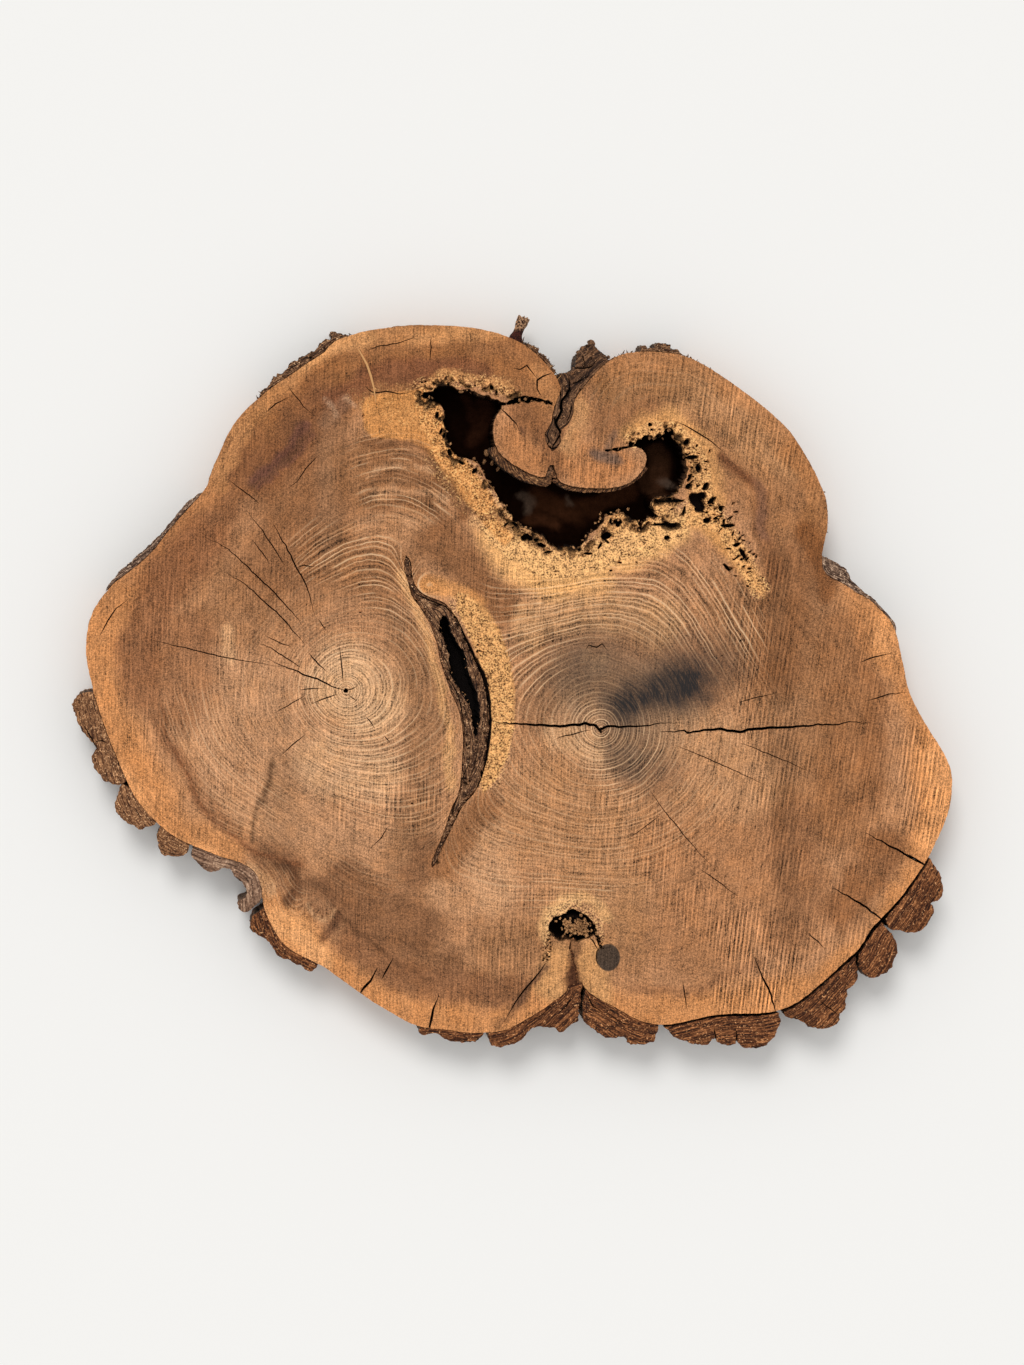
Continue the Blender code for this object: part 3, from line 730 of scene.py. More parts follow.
def slab(name, loops, lines, loose, coarse, drop, low, high, carry, rows, roughen):
    """A piece with an upper face at high, a lower face at low and walls of some rows between them.

    Drop says how deep a spot of the face lies, carry moves the spots of one height sideways, and roughen
    moves a wall outwards. Also returned are each vertex's spot on the face, its height and its part."""
    top, faces, rings = filled(loops, lines, loose)
    under, under_faces, under_rings = filled(loops, [], coarse)
    z = high - drop(top)
    spots, heights = [top, under], [z, np.full(len(under), low)]
    parts = [np.full(len(top), ON_FACE), np.full(len(under), BELOW)]
    start, count = len(top), len(top) + len(under)
    faces = faces + [tuple(start + i for i in face[::-1]) for face in under_faces]
    for which, (ring, under_ring) in enumerate(zip(rings, under_rings)):
        bands = [ring]
        for share in np.arange(1, rows) / rows:
            height = z[ring] + (low - z[ring]) * share
            move = roughen(top[ring], height, which) * math.sin(math.pi * share)**0.5
            spots.append(top[ring] + outward(loops[which]) * move[:, None])
            heights.append(height)
            parts.append(np.full(len(ring), ON_WALL))
            bands.append(count + np.arange(len(ring)))
            count += len(ring)
        bands.append(start + under_ring)
        for above, below in zip(bands, bands[1:]):
            corners = above, below, np.roll(below, -1), np.roll(above, -1)
            faces += list(zip(*(corner.tolist() for corner in corners)))
    spots, heights, parts = np.concatenate(spots), np.concatenate(heights), np.concatenate(parts)
    x, y = carry(spots, heights).T
    mesh = meshed(name, np.stack([x, y, heights], 1).tolist(), faces)
    mesh.update()
    return linked(name, mesh), spots, heights, parts


def note(piece, name, values):
    """Writes one number, or one colour of three, for each vertex, for the material to read."""
    values = np.asarray(values, np.float32)
    kind, field = ("FLOAT", "value") if values.ndim == 1 else ("FLOAT_VECTOR", "vector")
    layer = piece.data.attributes.new(name, kind, "POINT")
    layer.data.foreach_set(field, values.ravel())


print("parts of a slab: face, wall, underside =", (ON_FACE, ON_WALL, BELOW))

# %% [markdown]
# ## Cutting the wood
#
# The face is fine where the wood is broken and coarser where it is plain. One fine grain everywhere would
# take millions of points. A grain of 4.6 mm is enough on plain wood, because colour changes slowly there
# and the rings are drawn by the material, not by the mesh.

# %% Loose points, close together where the wood is broken
HEARTS = at((346, 690), (601, 728))
PLAIN_STEP = 0.0046
SOFT_STEP = 0.0023
CRUMBLED_STEP = 0.0016
UNDERSIDE_STEP = 0.0075


def field(low_left, top_right, step, seed):
    """Scattered points between two corners of the photograph."""
    return scattered(*at(low_left, top_right), step, seed)


plain = scattered(rim.min(0), rim.max(0), PLAIN_STEP, 1)
fine = field((350, 620), (780, 365), SOFT_STEP, 2)
by_seam = field((400, 880), (520, 540), SOFT_STEP, 3)
by_pocket = field((535, 1000), (630, 895), CRUMBLED_STEP, 4)
shore = field((410, 570), (710, 375), CRUMBLED_STEP, 5)
on_shore = away(shore, hollow) < 0.010
on_shore &= inside(shore, hollow) | (punky(shore) > 0.5)
heart_points = np.array([heart + (radius * math.cos(angle), radius * math.sin(angle))
                         for heart in HEARTS for radius in np.arange(1, 16) * 0.0018
                         for angle in np.arange(0, 2 * math.pi, 0.0021 / radius)])
loose = np.concatenate([plain, fine[punky(fine) > 0.12], by_seam[punky(by_seam) > 0.2],
                        by_pocket[away(by_pocket, pocket) < 0.012], shore[on_shore], heart_points])
print("loose points:", len(loose))

# %% Lines that the mesh keeps

def circle(count):
    """So many angles round a circle."""
    return np.arange(count) / count * 2 * math.pi


def hole_rings(x, y, long, short, turn):
    """The wavy edge of a worm hole, and the same line round its floor."""
    angle = circle(int(np.clip(long * 3, 6, 26)))
    wobble = 1 + 0.22 * np.sin(angle * 2 + x) * np.cos(angle * 3 + y)
    for size in (1.0, HOLE_FLOOR):
        u, v = np.cos(angle) * long * PIXEL * size * wobble, np.sin(angle) * short * PIXEL * size * wobble
        yield np.stack(turned(u, v, math.radians(turn)), 1) + at((x, y))[0], True


edges = [(hollow, True), (pocket, True),
         (hollow - outward(hollow) * 0.0008, True), (pocket - outward(pocket) * 0.0007, True)]
inner_lines = []
for line, (width, _, _) in zip(crack_lines, CRACKS):
    inner_lines += lips(line, width)
for hole in HOLES:
    inner_lines += hole_rings(*hole)
inner_lines += [(gap_line + (side, 0), False) for side in (0.0013, 0.0030)]
for _, _, _, blur, outline in PATCHES:
    loop = walked(at(*outline), 0.003)
    inner_lines += [(loop + outward(loop) * side * blur * PIXEL, True) for side in (0.8, -0.8)]
for size in (0.94, 1.04):
    ring = np.stack([np.cos(circle(40)) * KNOT[2], np.sin(circle(40)) * KNOT[3]], 1) * size * PIXEL
    inner_lines.append((ring + at(KNOT[:2])[0], True))
print("lines in the face:", len(edges + inner_lines))

# %% Loose points that stand clear of the lines
CLEAR_OF_LINES = 0.0005
keep = np.ones(len(loose), bool)
for line, _ in inner_lines:
    near = close_to(loose, line, 0.001)
    keep[near[reach(loose[near], line)[0] < CLEAR_OF_LINES]] = False
for line, close in ((rim, 0.0006), (seam, 0.0006), (hollow, 0.0013), (pocket, 0.0012)):
    keep &= away(loose, line) > close
loose = loose[keep]

coarse = scattered(rim.min(0), rim.max(0), UNDERSIDE_STEP, 6)
for line in (rim, seam):
    coarse = coarse[away(coarse, line) > 0.003]
print("loose points kept:", len(loose), "and on the underside:", len(coarse))

# %% The slab of wood
WALL_ROWS = 7


def flank(spots, height, which):
    """The bare flank of the wood is furrowed along the trunk. Inner walls are left nearly plain."""
    around = np.column_stack([spots, height * 0.12])
    size = 0.0011 if which == 0 else 0.0002
    return (hills(around, 0.006, 13) * 0.7 + hills(around, 0.0024, 14) * 0.5) * size


wood, spots, heights, parts = slab("wood_slice", [rim, seam], edges + inner_lines, loose, coarse,
                                   lambda points: sunk(points)[0], 0.0, FACE, swollen, WALL_ROWS, flank)
triangles = sum(len(face.vertices) - 2 for face in wood.data.polygons)
print("wood:", len(spots), "points,", triangles, "triangles")

# %% [markdown]
# ## The count of the rings
#
# A ring is the place where the trunk stood in one year. Circles round a heart would miss how two stems
# share one rim, so the rings are level lines between the two hearts and the rim: each spot gets its share
# of the way. The seam of bark, the horns of callus and a few swirls push the rings aside, so each adds
# lines of its own close by.

# %% Ring count of every spot
RING_COUNT = 68
HEART_BLUR = 0.03  # how widely the rings of the two hearts run into one another
RIM_BLUR = 0.03
SWIRLS = [
    # middle, size, and how many rings are added there
    ((316, 905), 0.018, 5), ((608, 456), 0.018, 4), ((521, 426), 0.012, 2), ((425, 905), 0.030, 3),
]


def softly(points, line, blur):
    """The distance to a closed line with its corners rounded off, so that the rings don't kink."""
    step = np.hypot(*(line - np.roll(line, 1, 0)).T)
    total = np.zeros(len(points))
    nearest = np.full(len(points), 9.0)
    for (x, y), part in zip(line, step):
        gap = np.hypot(points[:, 0] - x, points[:, 1] - y)
        total += part * np.exp(-gap / blur)
        nearest = np.minimum(nearest, gap)
    return -blur * np.log(total / np.sqrt(2 * math.pi * blur * (nearest + 0.64 * blur)))


def ring_count(points):
    """How many rings lie between the nearer heart and each spot."""
    gaps = [np.hypot(*(points - heart).T) for heart in HEARTS]
    heart = -HEART_BLUR * np.log(np.exp(-gaps[0] / HEART_BLUR) + np.exp(-gaps[1] / HEART_BLUR))
    heart = np.maximum(heart, 0) + np.minimum(gaps[0], gaps[1]) * 0.02
    edge = np.maximum(softly(points, rim_raw, RIM_BLUR), 0)
    rings = RING_COUNT * (heart / (heart + edge + 1e-6))**0.86
    seam_gap = away(points, seam_raw[::2])
    horn_gap = reach(points, horns)[0]
    rings += 5 * np.exp(-seam_gap / 0.014) + 6 * np.exp(-horn_gap / 0.022)
    for middle, size, added in SWIRLS:
        rings += added * np.exp(-(np.hypot(*(points - at(middle)[0]).T) / size)**2)
    return rings


rings = ring_count(spots)
print("rings counted:", round(float(rings.min()), 1), "to", round(float(rings.max()), 1))

# %% [markdown]
# ## Painting the broad tones
#
# Heartwood is not one brown. Sapwood is a light orange tan, a purple brown line parts it from the heart,
# and a blue black stain spreads over the right heart. A material can't know where these lie, and a
# photograph laid over the face would bring its shadows along. So each tone is laid on with a soft brush,
# as a restorer would: half width in pixels, strength, and the places that the stroke passes.

# %% Tones of the face: name, colour, strokes
def tone(red, green, blue):
    """A colour as seen on a screen, 0 to 255, turned into the linear numbers that light needs."""
    shares = (c / 255 for c in (red, green, blue))
    return np.array([c / 12.92 if c <= 0.04 else ((c + 0.055) / 1.055)**2.4 for c in shares])


GROUND = tone(176, 127, 90)
TONES = [
    ("left heart", (185, 137, 100), [(100, 0.9, [(245, 700), (240, 760), (300, 800), (350, 800)])]),
    ("left heart, above", (158, 112, 77), [(62, 0.85, [(205, 590), (260, 605), (300, 570)])]),
    ("left heart, far above", (143, 98, 65), [
        (64, 0.9, [(280, 460), (300, 520), (280, 560)]), (40, 0.7, [(330, 450), (342, 500)])]),
    ("above the left rings", (150, 104, 69), [
        (60, 0.85, [(375, 475), (410, 495)]), (45, 0.8, [(340, 560), (395, 575)])]),
    ("light above the left rings", (180, 131, 93), [(24, 0.8, [(365, 530), (420, 524)])]),
    ("round the left pith", (205, 161, 121), [
        (58, 0.9, [(348, 682), (368, 702)]), (42, 0.6, [(325, 760), (375, 770)])]),
    ("left of the seam", (152, 109, 76), [
        (27, 0.9, [(404, 606), (416, 660), (424, 710), (424, 760), (414, 815), (402, 860)])]),
    ("brown under the hollow", (134, 90, 58), [(34, 0.85, [(440, 536), (470, 565), (500, 608)])]),
    ("middle, low", (195, 147, 108), [
        (36, 0.9, [(492, 836), (494, 890)]), (26, 0.5, [(440, 892), (470, 900)])]),
    ("low middle", (158, 112, 76), [
        (50, 0.85, [(500, 955), (550, 940), (620, 935)]), (26, 0.6, [(700, 935), (740, 940)])]),
    ("brown swirl", (130, 89, 60), [
        (44, 0.92, [(345, 890), (385, 912), (416, 930)]), (26, 0.75, [(400, 960), (445, 965)]),
        (22, 0.8, [(428, 848), (414, 878)])]),
    ("heart, low", (175, 127, 88), [(85, 0.8, [(560, 810), (620, 850), (600, 890)])]),
    ("right heart", (152, 108, 74), [(85, 0.9, [(770, 620), (800, 700), (800, 780)])]),
    ("right of the pith", (184, 136, 97), [(48, 0.85, [(688, 735), (725, 745), (738, 790), (690, 812)])]),
    ("dark right of the heart", (139, 94, 61), [
        (38, 0.9, [(780, 505), (795, 550), (785, 610), (778, 670)])]),
    ("right, far", (150, 102, 66), [(50, 0.85, [(845, 640), (850, 740), (845, 820)])]),
    ("right, low", (170, 119, 81), [(75, 0.85, [(690, 850), (740, 870), (700, 930)])]),
    ("lower right", (150, 103, 69), [(38, 0.8, [(790, 820), (800, 880), (790, 930)])]),
    ("round the right pith", (158, 122, 92), [(70, 0.85, [(590, 690), (620, 730), (650, 700)])]),
    ("right of the seam", (150, 108, 76), [(24, 0.7, [(534, 636), (540, 690), (536, 724)])]),
    ("left of the right pith", (194, 150, 110), [(22, 0.7, [(555, 738), (590, 748)])]),
    ("pale round the heart", (188, 142, 100), [
        (32, 0.75, [(530, 625), (570, 608), (620, 612), (665, 622)])]),
    ("right lobe", (174, 126, 86), [(46, 0.9, [(690, 390), (745, 430), (775, 465)])]),
    ("right lobe, low", (163, 114, 76), [(34, 0.85, [(690, 440), (735, 482), (790, 510)])]),
    ("right lobe, rim", (160, 108, 66), [(22, 0.85, [(795, 450), (816, 490), (822, 545)])]),
    ("right lobe, darkest", (126, 78, 43), [(14, 0.8, [(810, 530), (816, 560), (826, 594)])]),
    ("right lobe, inside", (149, 104, 67), [(40, 0.9, [(620, 385), (660, 385)])]),
    ("right lobe, dark inside", (144, 98, 64), [(24, 0.85, [(600, 420), (625, 422), (645, 412)])]),
    ("right lobe, red streak", (134, 88, 56), [
        (9, 0.8, [(715, 455), (735, 472), (752, 492)]), (13, 0.7, [(757, 500), (763, 540), (772, 575)])]),
    ("left lobe", (150, 99, 60), [(58, 0.95, [(240, 450), (320, 380), (420, 350), (510, 350), (550, 380)])]),
    ("left lobe, low", (137, 91, 59), [(42, 0.9, [(240, 465), (200, 520), (160, 575)])]),
    ("left lobe, shadow", (130, 85, 55), [(36, 0.85, [(262, 470), (292, 448), (320, 405)])]),
    ("left lobe, purple line", (104, 69, 50), [
        (12, 0.85, [(252, 480), (272, 466), (290, 450), (308, 428)])]),
    ("left lobe, inner line", (124, 78, 52), [
        (16, 0.85, [(335, 398), (360, 380), (392, 371), (430, 366), (480, 370)])]),
    ("left lobe, bleached", (138, 100, 75), [(9, 0.6, [(326, 420), (334, 408), (344, 400)])]),
    ("left lobe, rim", (187, 131, 84), [
        (15, 0.8, [(212, 485), (235, 440), (275, 390), (330, 345), (400, 330), (490, 334)]),
        (12, 0.6, [(540, 370), (552, 390), (556, 400)])]),
    ("left lobe, light rim", (208, 150, 98), [
        (12, 0.85, [(298, 368), (334, 344), (372, 334)]), (8, 0.35, [(420, 332), (500, 338)])]),
    ("grey streak", (144, 106, 77), [(14, 0.4, [(332, 420), (328, 480), (326, 560)])]),
    ("horns of callus", (176, 119, 76), [
        (30, 0.95, [(512, 440), (530, 460)]), (34, 0.95, [(582, 462), (612, 466)])]),
    ("callus by the crotch", (134, 89, 57), [
        (20, 0.9, [(516, 408), (532, 420), (550, 432)]), (17, 0.8, [(556, 430), (554, 468)])]),
    ("callus, light side", (174, 124, 82), [(11, 0.8, [(574, 396), (578, 424), (574, 450)])]),
    ("heart of the right horn", (104, 80, 66), [(9, 0.8, [(600, 453), (614, 457)])]),
    ("sapwood", (197, 135, 85), [
        (52, 0.95, [(106, 600), (90, 640), (94, 700), (118, 772), (168, 838), (225, 862)]),
        (44, 0.95, [(268, 905), (300, 945), (350, 992), (420, 1022), (470, 1028)]),
        (38, 0.9, [(480, 1032), (550, 1005), (575, 990), (640, 1018), (720, 1015), (790, 1000)]),
        (46, 0.95, [(935, 745), (948, 790), (935, 850)]), (36, 0.8, [(862, 590), (894, 640), (922, 700)]),
        (30, 0.95, [(928, 868), (896, 925), (858, 962), (800, 1004)])]),
    ("sapwood, above", (176, 120, 76), [
        (24, 0.7, [(115, 600), (145, 548), (200, 492)]),
        (20, 0.6, [(600, 370), (650, 352), (700, 360), (770, 410), (815, 480)])]),
    ("sapwood, lit", (216, 152, 99), [
        (28, 0.85, [(942, 745), (950, 790), (934, 835)]), (14, 0.8, [(880, 622), (890, 650)]),
        (18, 0.85, [(104, 770), (150, 826), (205, 858)])]),
    ("left band", (142, 94, 62), [
        (44, 0.6, [(186, 640), (182, 700)]), (34, 0.85, [(150, 685), (140, 640), (160, 590), (205, 540)]),
        (13, 0.6, [(152, 700), (170, 745), (195, 788), (232, 824), (292, 868)])]),
    ("band at the lower right", (138, 91, 57), [(32, 0.85, [(886, 850), (862, 884), (840, 912)])]),
    ("foot band", (136, 92, 62), [
        (24, 0.85, [(356, 938), (400, 972), (450, 990), (515, 988)]),
        (9, 0.5, [(640, 985), (700, 990), (760, 960)])]),
    ("right band", (140, 92, 57), [(18, 0.4, [(865, 640), (874, 720), (868, 800)])]),
    ("fold", (146, 103, 72), [(28, 0.85, [(262, 862), (282, 878), (300, 892), (318, 900)])]),
    ("fold, light lip", (190, 144, 104), [(7, 0.7, [(254, 864), (266, 880), (268, 894)])]),
    ("fold, sapwood", (216, 156, 104), [(22, 0.85, [(270, 920), (292, 930), (322, 955)])]),
    ("fold, dark crescent", (98, 64, 42), [(8, 0.95, [(278, 866), (291, 876), (294, 890), (282, 901)])]),
    ("swirl", (118, 80, 54), [
        (8, 0.75, [(304, 886), (322, 887), (336, 902)]), (4, 0.8, [(306, 906), (314, 916), (328, 917)])]),
    ("swirl, light line", (204, 156, 114), [(3, 0.7, [(303, 903), (311, 915), (325, 920), (336, 913)])]),
    ("swirl, foot", (98, 62, 42), [(6, 0.75, [(325, 936), (334, 926), (341, 917)])]),
    ("line of the heart", (104, 70, 46), [(2.7, 0.8, [(342, 914), (370, 936), (400, 960), (432, 976)])]),
    ("seam, light edge", (206, 154, 104), [
        (7, 0.85, [(404, 572), (416, 605), (430, 640), (440, 690), (449, 735), (450, 785)])]),
    ("under the seam", (145, 98, 63), [(24, 0.85, [(488, 802), (464, 836), (440, 862)])]),
    ("soft wood under the hollow", (222, 167, 108), [
        (36, 0.95, [(502, 528), (528, 558), (556, 576), (590, 570)]),
        (28, 0.9, [(596, 560), (636, 546), (672, 530)]), (18, 0.8, [(664, 530), (700, 515)])]),
    ("soft wood above the left arm", (196, 138, 86), [
        (9, 0.8, [(425, 384), (450, 378), (480, 382), (508, 390)])]),
    ("soft wood round the right arm", (206, 150, 94), [
        (20, 0.9, [(636, 430), (672, 424), (696, 446), (707, 474), (709, 504)]),
        (18, 0.9, [(610, 530), (635, 516), (660, 508)])]),
    ("seam, orange head", (205, 143, 87), [(13, 0.85, [(428, 584), (450, 590), (474, 604)])]),
]
print("tones:", len(TONES))

# %% Smaller tones, laid over the broad ones
DETAILS = [
    ("old bud", (92, 60, 42), [(4.5, 0.85, [(518, 424), (520, 431)])]),
    ("brown by the soft wood", (128, 84, 52), [(9, 0.7, [(440, 478), (452, 496), (466, 516)])]),
    ("edge of the heartwood", (124, 78, 50), [
        (3.4, 0.8, [(171, 745), (183, 775), (205, 805), (232, 830), (262, 852), (294, 870)]),
        (3, 0.5, [(166, 700), (171, 745)])]),
    ("crumbled edge", (146, 100, 64), [(8, 0.8, [(498, 508), (520, 531), (545, 546), (568, 548)])]),
    ("line beside the fold", (110, 78, 54), [(3.6, 0.9, [(271, 757), (265, 790), (262, 820), (257, 838)])]),
    ("flame on the right lobe", (108, 66, 42), [(6, 0.8, [(719, 456), (731, 466), (746, 483)])]),
    ("purple band", (122, 86, 68), [(8, 0.6, [(752, 488), (759, 508), (764, 532)])]),
    ("grey touch on the horn", (118, 92, 76), [
        (6, 0.7, [(616, 433), (611, 446)]), (8, 0.6, [(601, 455), (616, 459)])]),
    ("light round the crotch", (196, 146, 100), [(7, 0.6, [(578, 408), (572, 430), (566, 444)])]),
    ("pale specks", (190, 152, 122), [
        (3, 0.45, [(328, 402), (334, 412)]), (3, 0.4, [(343, 398), (352, 404)])]),
    ("purple feather", (112, 72, 58), [
        (5, 0.7, [(250, 480), (276, 456), (312, 424)]), (3, 0.6, [(256, 488), (290, 462), (316, 432)])]),
    ("lobes at the foot", (198, 146, 96), [
        (22, 0.9, [(556, 962), (550, 985)]), (22, 0.9, [(592, 960), (600, 985)])]),
    ("shut seam at the foot", (128, 88, 58), [
        (7, 0.9, [(572, 944), (574, 962)]), (8, 0.95, [(576, 970), (576, 978)]),
        (12, 0.95, [(577, 980), (577, 990)])]),
    ("bark in the seam", (80, 48, 30), [
        (9, 1.0, [(575, 972), (577, 984)]), (14, 1.0, [(577, 982), (578, 992)])]),
    ("halo of the pocket", (212, 164, 112), [
        (8, 0.7, [(545, 935), (549, 915), (562, 904), (578, 901), (594, 908), (602, 922)])]),
    ("streak at the foot", (104, 72, 52), [
        (6, 0.8, [(545, 964), (533, 980), (520, 998)]), (4, 0.5, [(520, 998), (502, 1022)])]),
    ("pale patches", (214, 166, 122), [
        (10, 0.6, [(228, 626), (226, 656)]), (8, 0.35, [(591, 653), (603, 656), (598, 664)])]),
    ("pale arcs", (192, 146, 108), [
        (5, 0.5, [(372, 498), (400, 487), (430, 490), (445, 500)]),
        (3, 0.6, [(366, 474), (384, 468), (410, 466), (436, 474)]),
        (4, 0.3, [(380, 515), (410, 520), (440, 516)])]),
    ("brown arcs", (124, 82, 52), [
        (5, 0.7, [(366, 445), (390, 444), (412, 448), (428, 460), (440, 478)]),
        (4, 0.7, [(368, 508), (400, 500), (432, 508), (446, 520), (470, 512), (500, 516)]),
        (4, 0.6, [(366, 480), (400, 474), (436, 484)]), (3, 0.5, [(372, 460), (400, 456), (424, 466)])]),
]
print("details:", len(DETAILS))

# %% The stain, and the painted light and shadow inside the hollow
STAIN = [
    (44, 1.0, [(630, 700), (652, 694), (672, 690), (690, 686)]), (34, 0.45, [(696, 682), (722, 672)]),
    (50, 0.40, [(690, 664), (724, 652)]), (66, 0.41, [(592, 660), (630, 652), (676, 664)]),
    (50, 0.30, [(560, 684), (584, 660)]), (46, 0.46, [(634, 750), (654, 774)]),
    (28, 0.30, [(614, 752), (630, 766)]),
]
HOLLOW_LIT_AND_SHADED = [
    # what can be seen inside the hollow: lit walls of brown rot between black shadows
    ("right arm", (62, 38, 24), [
        (14, 1.0, [(664, 452), (668, 474), (664, 492)]), (9, 0.8, [(650, 470), (652, 488)])]),
    ("shadow of the right arm", (12, 4, 2), [
        (9, 1.0, [(676, 438), (686, 456), (690, 480)]), (7, 0.9, [(655, 436), (676, 436)])]),
    ("left arm", (46, 24, 14), [
        (12, 0.9, [(482, 404), (484, 424), (474, 440)]), (8, 0.7, [(462, 400), (470, 420)])]),
    ("middle", (64, 36, 21), [
        (15, 0.9, [(540, 505), (575, 512), (610, 500), (632, 490)]), (9, 0.8, [(530, 520), (560, 528)])]),
    ("grey bits", (104, 84, 70), [
        (5, 0.6, [(524, 498), (532, 506), (527, 512)]), (4, 0.6, [(572, 500), (578, 506)]),
        (6, 0.5, [(672, 480), (680, 486)])]),
]
print("strokes of stain:", len(STAIN), "and tones in the hollow:", len(HOLLOW_LIT_AND_SHADED))

# %% Laying the paint on
# BLACK_BROWN is painted shadow: the hollow's lit walls are painted over it.
BLACK_BROWN = tone(20, 8, 4)
KNOT_BROWN = tone(72, 58, 48)
drift = hills(spots, 0.05, 20)[:, None] * (0.007, 0.006) + hills(spots, 0.016, 21)[:, None] * (0.0045, -0.005)
pressure = 1 + 0.12 * hills(spots, 0.03, 22)[:, None]


def painted_over(face, tones):
    """The face with more tones laid over it, each brush pressed on unevenly."""
    for _, colour, strokes in tones:
        strength = stroked(spots + drift, strokes)[:, None] * pressure
        face = face + (tone(*colour) - face) * np.clip(strength, 0, 1)
    return face


face = painted_over(np.tile(GROUND, (len(spots), 1)), TONES)
for _, colour, strength, blur, outline in PATCHES:
    face += (tone(*colour) - face) * strength * patched(spots, outline, blur)[:, None]
face = painted_over(face, DETAILS)

# Inside the hollow the face's tones give way to painted shadow with painted lit walls.
deep = np.tile(BLACK_BROWN, (len(spots), 1))
for _, colour, strokes in HOLLOW_LIT_AND_SHADED:
    deep += (tone(*colour) - deep) * stroked(spots + drift, strokes)[:, None]
in_hollow = inside(spots, hollow)
face[in_hollow] = deep[in_hollow]
face += (KNOT_BROWN - face) * (1 - ease(0.94, 1.04, oval(KNOT, spots)))[:, None]
print("strokes laid:", sum(len(strokes) for _, _, strokes in TONES + DETAILS))

# %% Softness and depth of every spot
soft = punky(spots)
drop, rot = sunk(spots)
drop[parts == BELOW] = 0
rot[parts == BELOW] = 0
soft[parts == BELOW] *= 0.4
print("spots of rot:", int((rot > 0.5).sum()))

# %% [markdown]
# ## The marks of the saw
#
# Teeth scratch fine lines that run nearly up and down the face and lean over towards the right, and in
# places the bar rocked and left broad stripes. The lines could be noise alone, but the places where the
# saw bit harder are its own record, so they are brushed on like the tones.

# %% Stripes, clear rings and plumb bands
SAW_STRIPES = [
    (50, 0.55, [(720, 390), (770, 440)]), (34, 0.5, [(655, 380), (700, 400)]),
    (46, 1.4, [(745, 935), (770, 965), (745, 1000)]), (36, 1.0, [(915, 750), (925, 820)]),
    (60, 0.5, [(620, 820), (700, 900)]), (40, 0.5, [(350, 800), (420, 800)]),
    (26, 0.4, [(570, 470), (620, 470)]), (24, 0.5, [(505, 430), (540, 450)]),
    (30, 0.3, [(230, 640), (240, 700)]), (40, 0.5, [(480, 960), (520, 980)]),
    (44, 0.8, [(762, 580), (770, 700), (782, 860)]), (60, 0.4, [(850, 640), (850, 860)]),
    (30, 0.7, [(805, 940), (850, 930)]), (24, 0.4, [(290, 350), (330, 380)]),
    (60, 0.3, [(160, 600), (150, 700)]),
]
CLEAR = [
    # where the saw has lifted the early wood of each ring into a pale line
    (150, 0.25, [(330, 700), (640, 750)]), (80, 0.8, [(346, 690), (370, 740)]),
    (62, 0.9, [(601, 728), (630, 760)]), (56, 0.5, [(370, 790), (420, 800)]),
    (60, 0.9, [(520, 660), (550, 605), (610, 585), (680, 600), (722, 630)]),
    (40, 0.2, [(735, 660), (750, 720)]), (50, 0.38, [(500, 780), (560, 840), (640, 850), (700, 800)]),
    (50, 0.3, [(480, 850), (560, 890)]), (30, 0.6, [(380, 500), (430, 500)]),
    (30, 0.4, [(370, 455), (430, 465)]), (50, 0.4, [(200, 720), (250, 800)]),
    (30, 0.5, [(500, 590), (530, 640)]), (26, 0.15, [(600, 400), (650, 380), (700, 390)]),
    (18, 0.2, [(314, 902), (322, 908)]), (42, 0.9, [(322, 556), (366, 556), (402, 590)]),
    (30, 0.6, [(400, 590), (424, 640)]), (30, 0.15, [(330, 870), (380, 880)]),
    (26, 0.3, [(250, 870), (290, 900)]), (20, 0.5, [(540, 880), (600, 885)]),
]
PLUMB = [
    # dark bands with plain edges, where the saw was turned or stopped
    (8, 0.45, [(290, 600), (284, 740)]), (24, 1.0, [(282, 762), (274, 864)]),
    (5, 0.5, [(302, 742), (294, 800)]), (19, 0.95, [(779, 560), (780, 640), (781, 700)]),
    (18, 0.78, [(784, 745), (786, 840), (788, 930)]), (7, 0.6, [(770, 640), (776, 900)]),
    (6, 0.6, [(346, 395), (342, 470), (340, 560)]),
]
print("strokes for the saw:", len(SAW_STRIPES) + len(CLEAR) + len(PLUMB))

# %% Notes in the mesh for the material
x, y = spots.T
lean = 0.03 + 0.13 * ease(-0.05, 0.40, x)
NOTES = {
    "tone": face, "rings": rings, "saw": np.stack([x - lean * y, y, heights], 1),
    "soft": soft, "depth": drop, "rot": rot,
    "stripes": stroked(spots + drift, SAW_STRIPES), "clear": stroked(spots + drift, CLEAR),
    "stain": soaked(spots + drift, STAIN), "shade": stroked(spots, PLUMB),
}
for name, values in NOTES.items():
    note(wood, name, values)
print("notes:", ", ".join(NOTES))

# %% [markdown]
# ## A small language for materials
#
# Blender builds a material from nodes and wires. A Wire is one value on its way through them, and plain
# sums of wires make Math nodes, so that a finish reads like a recipe. The one method `put` adds any
# other node: its kind, its settings, then what goes in.

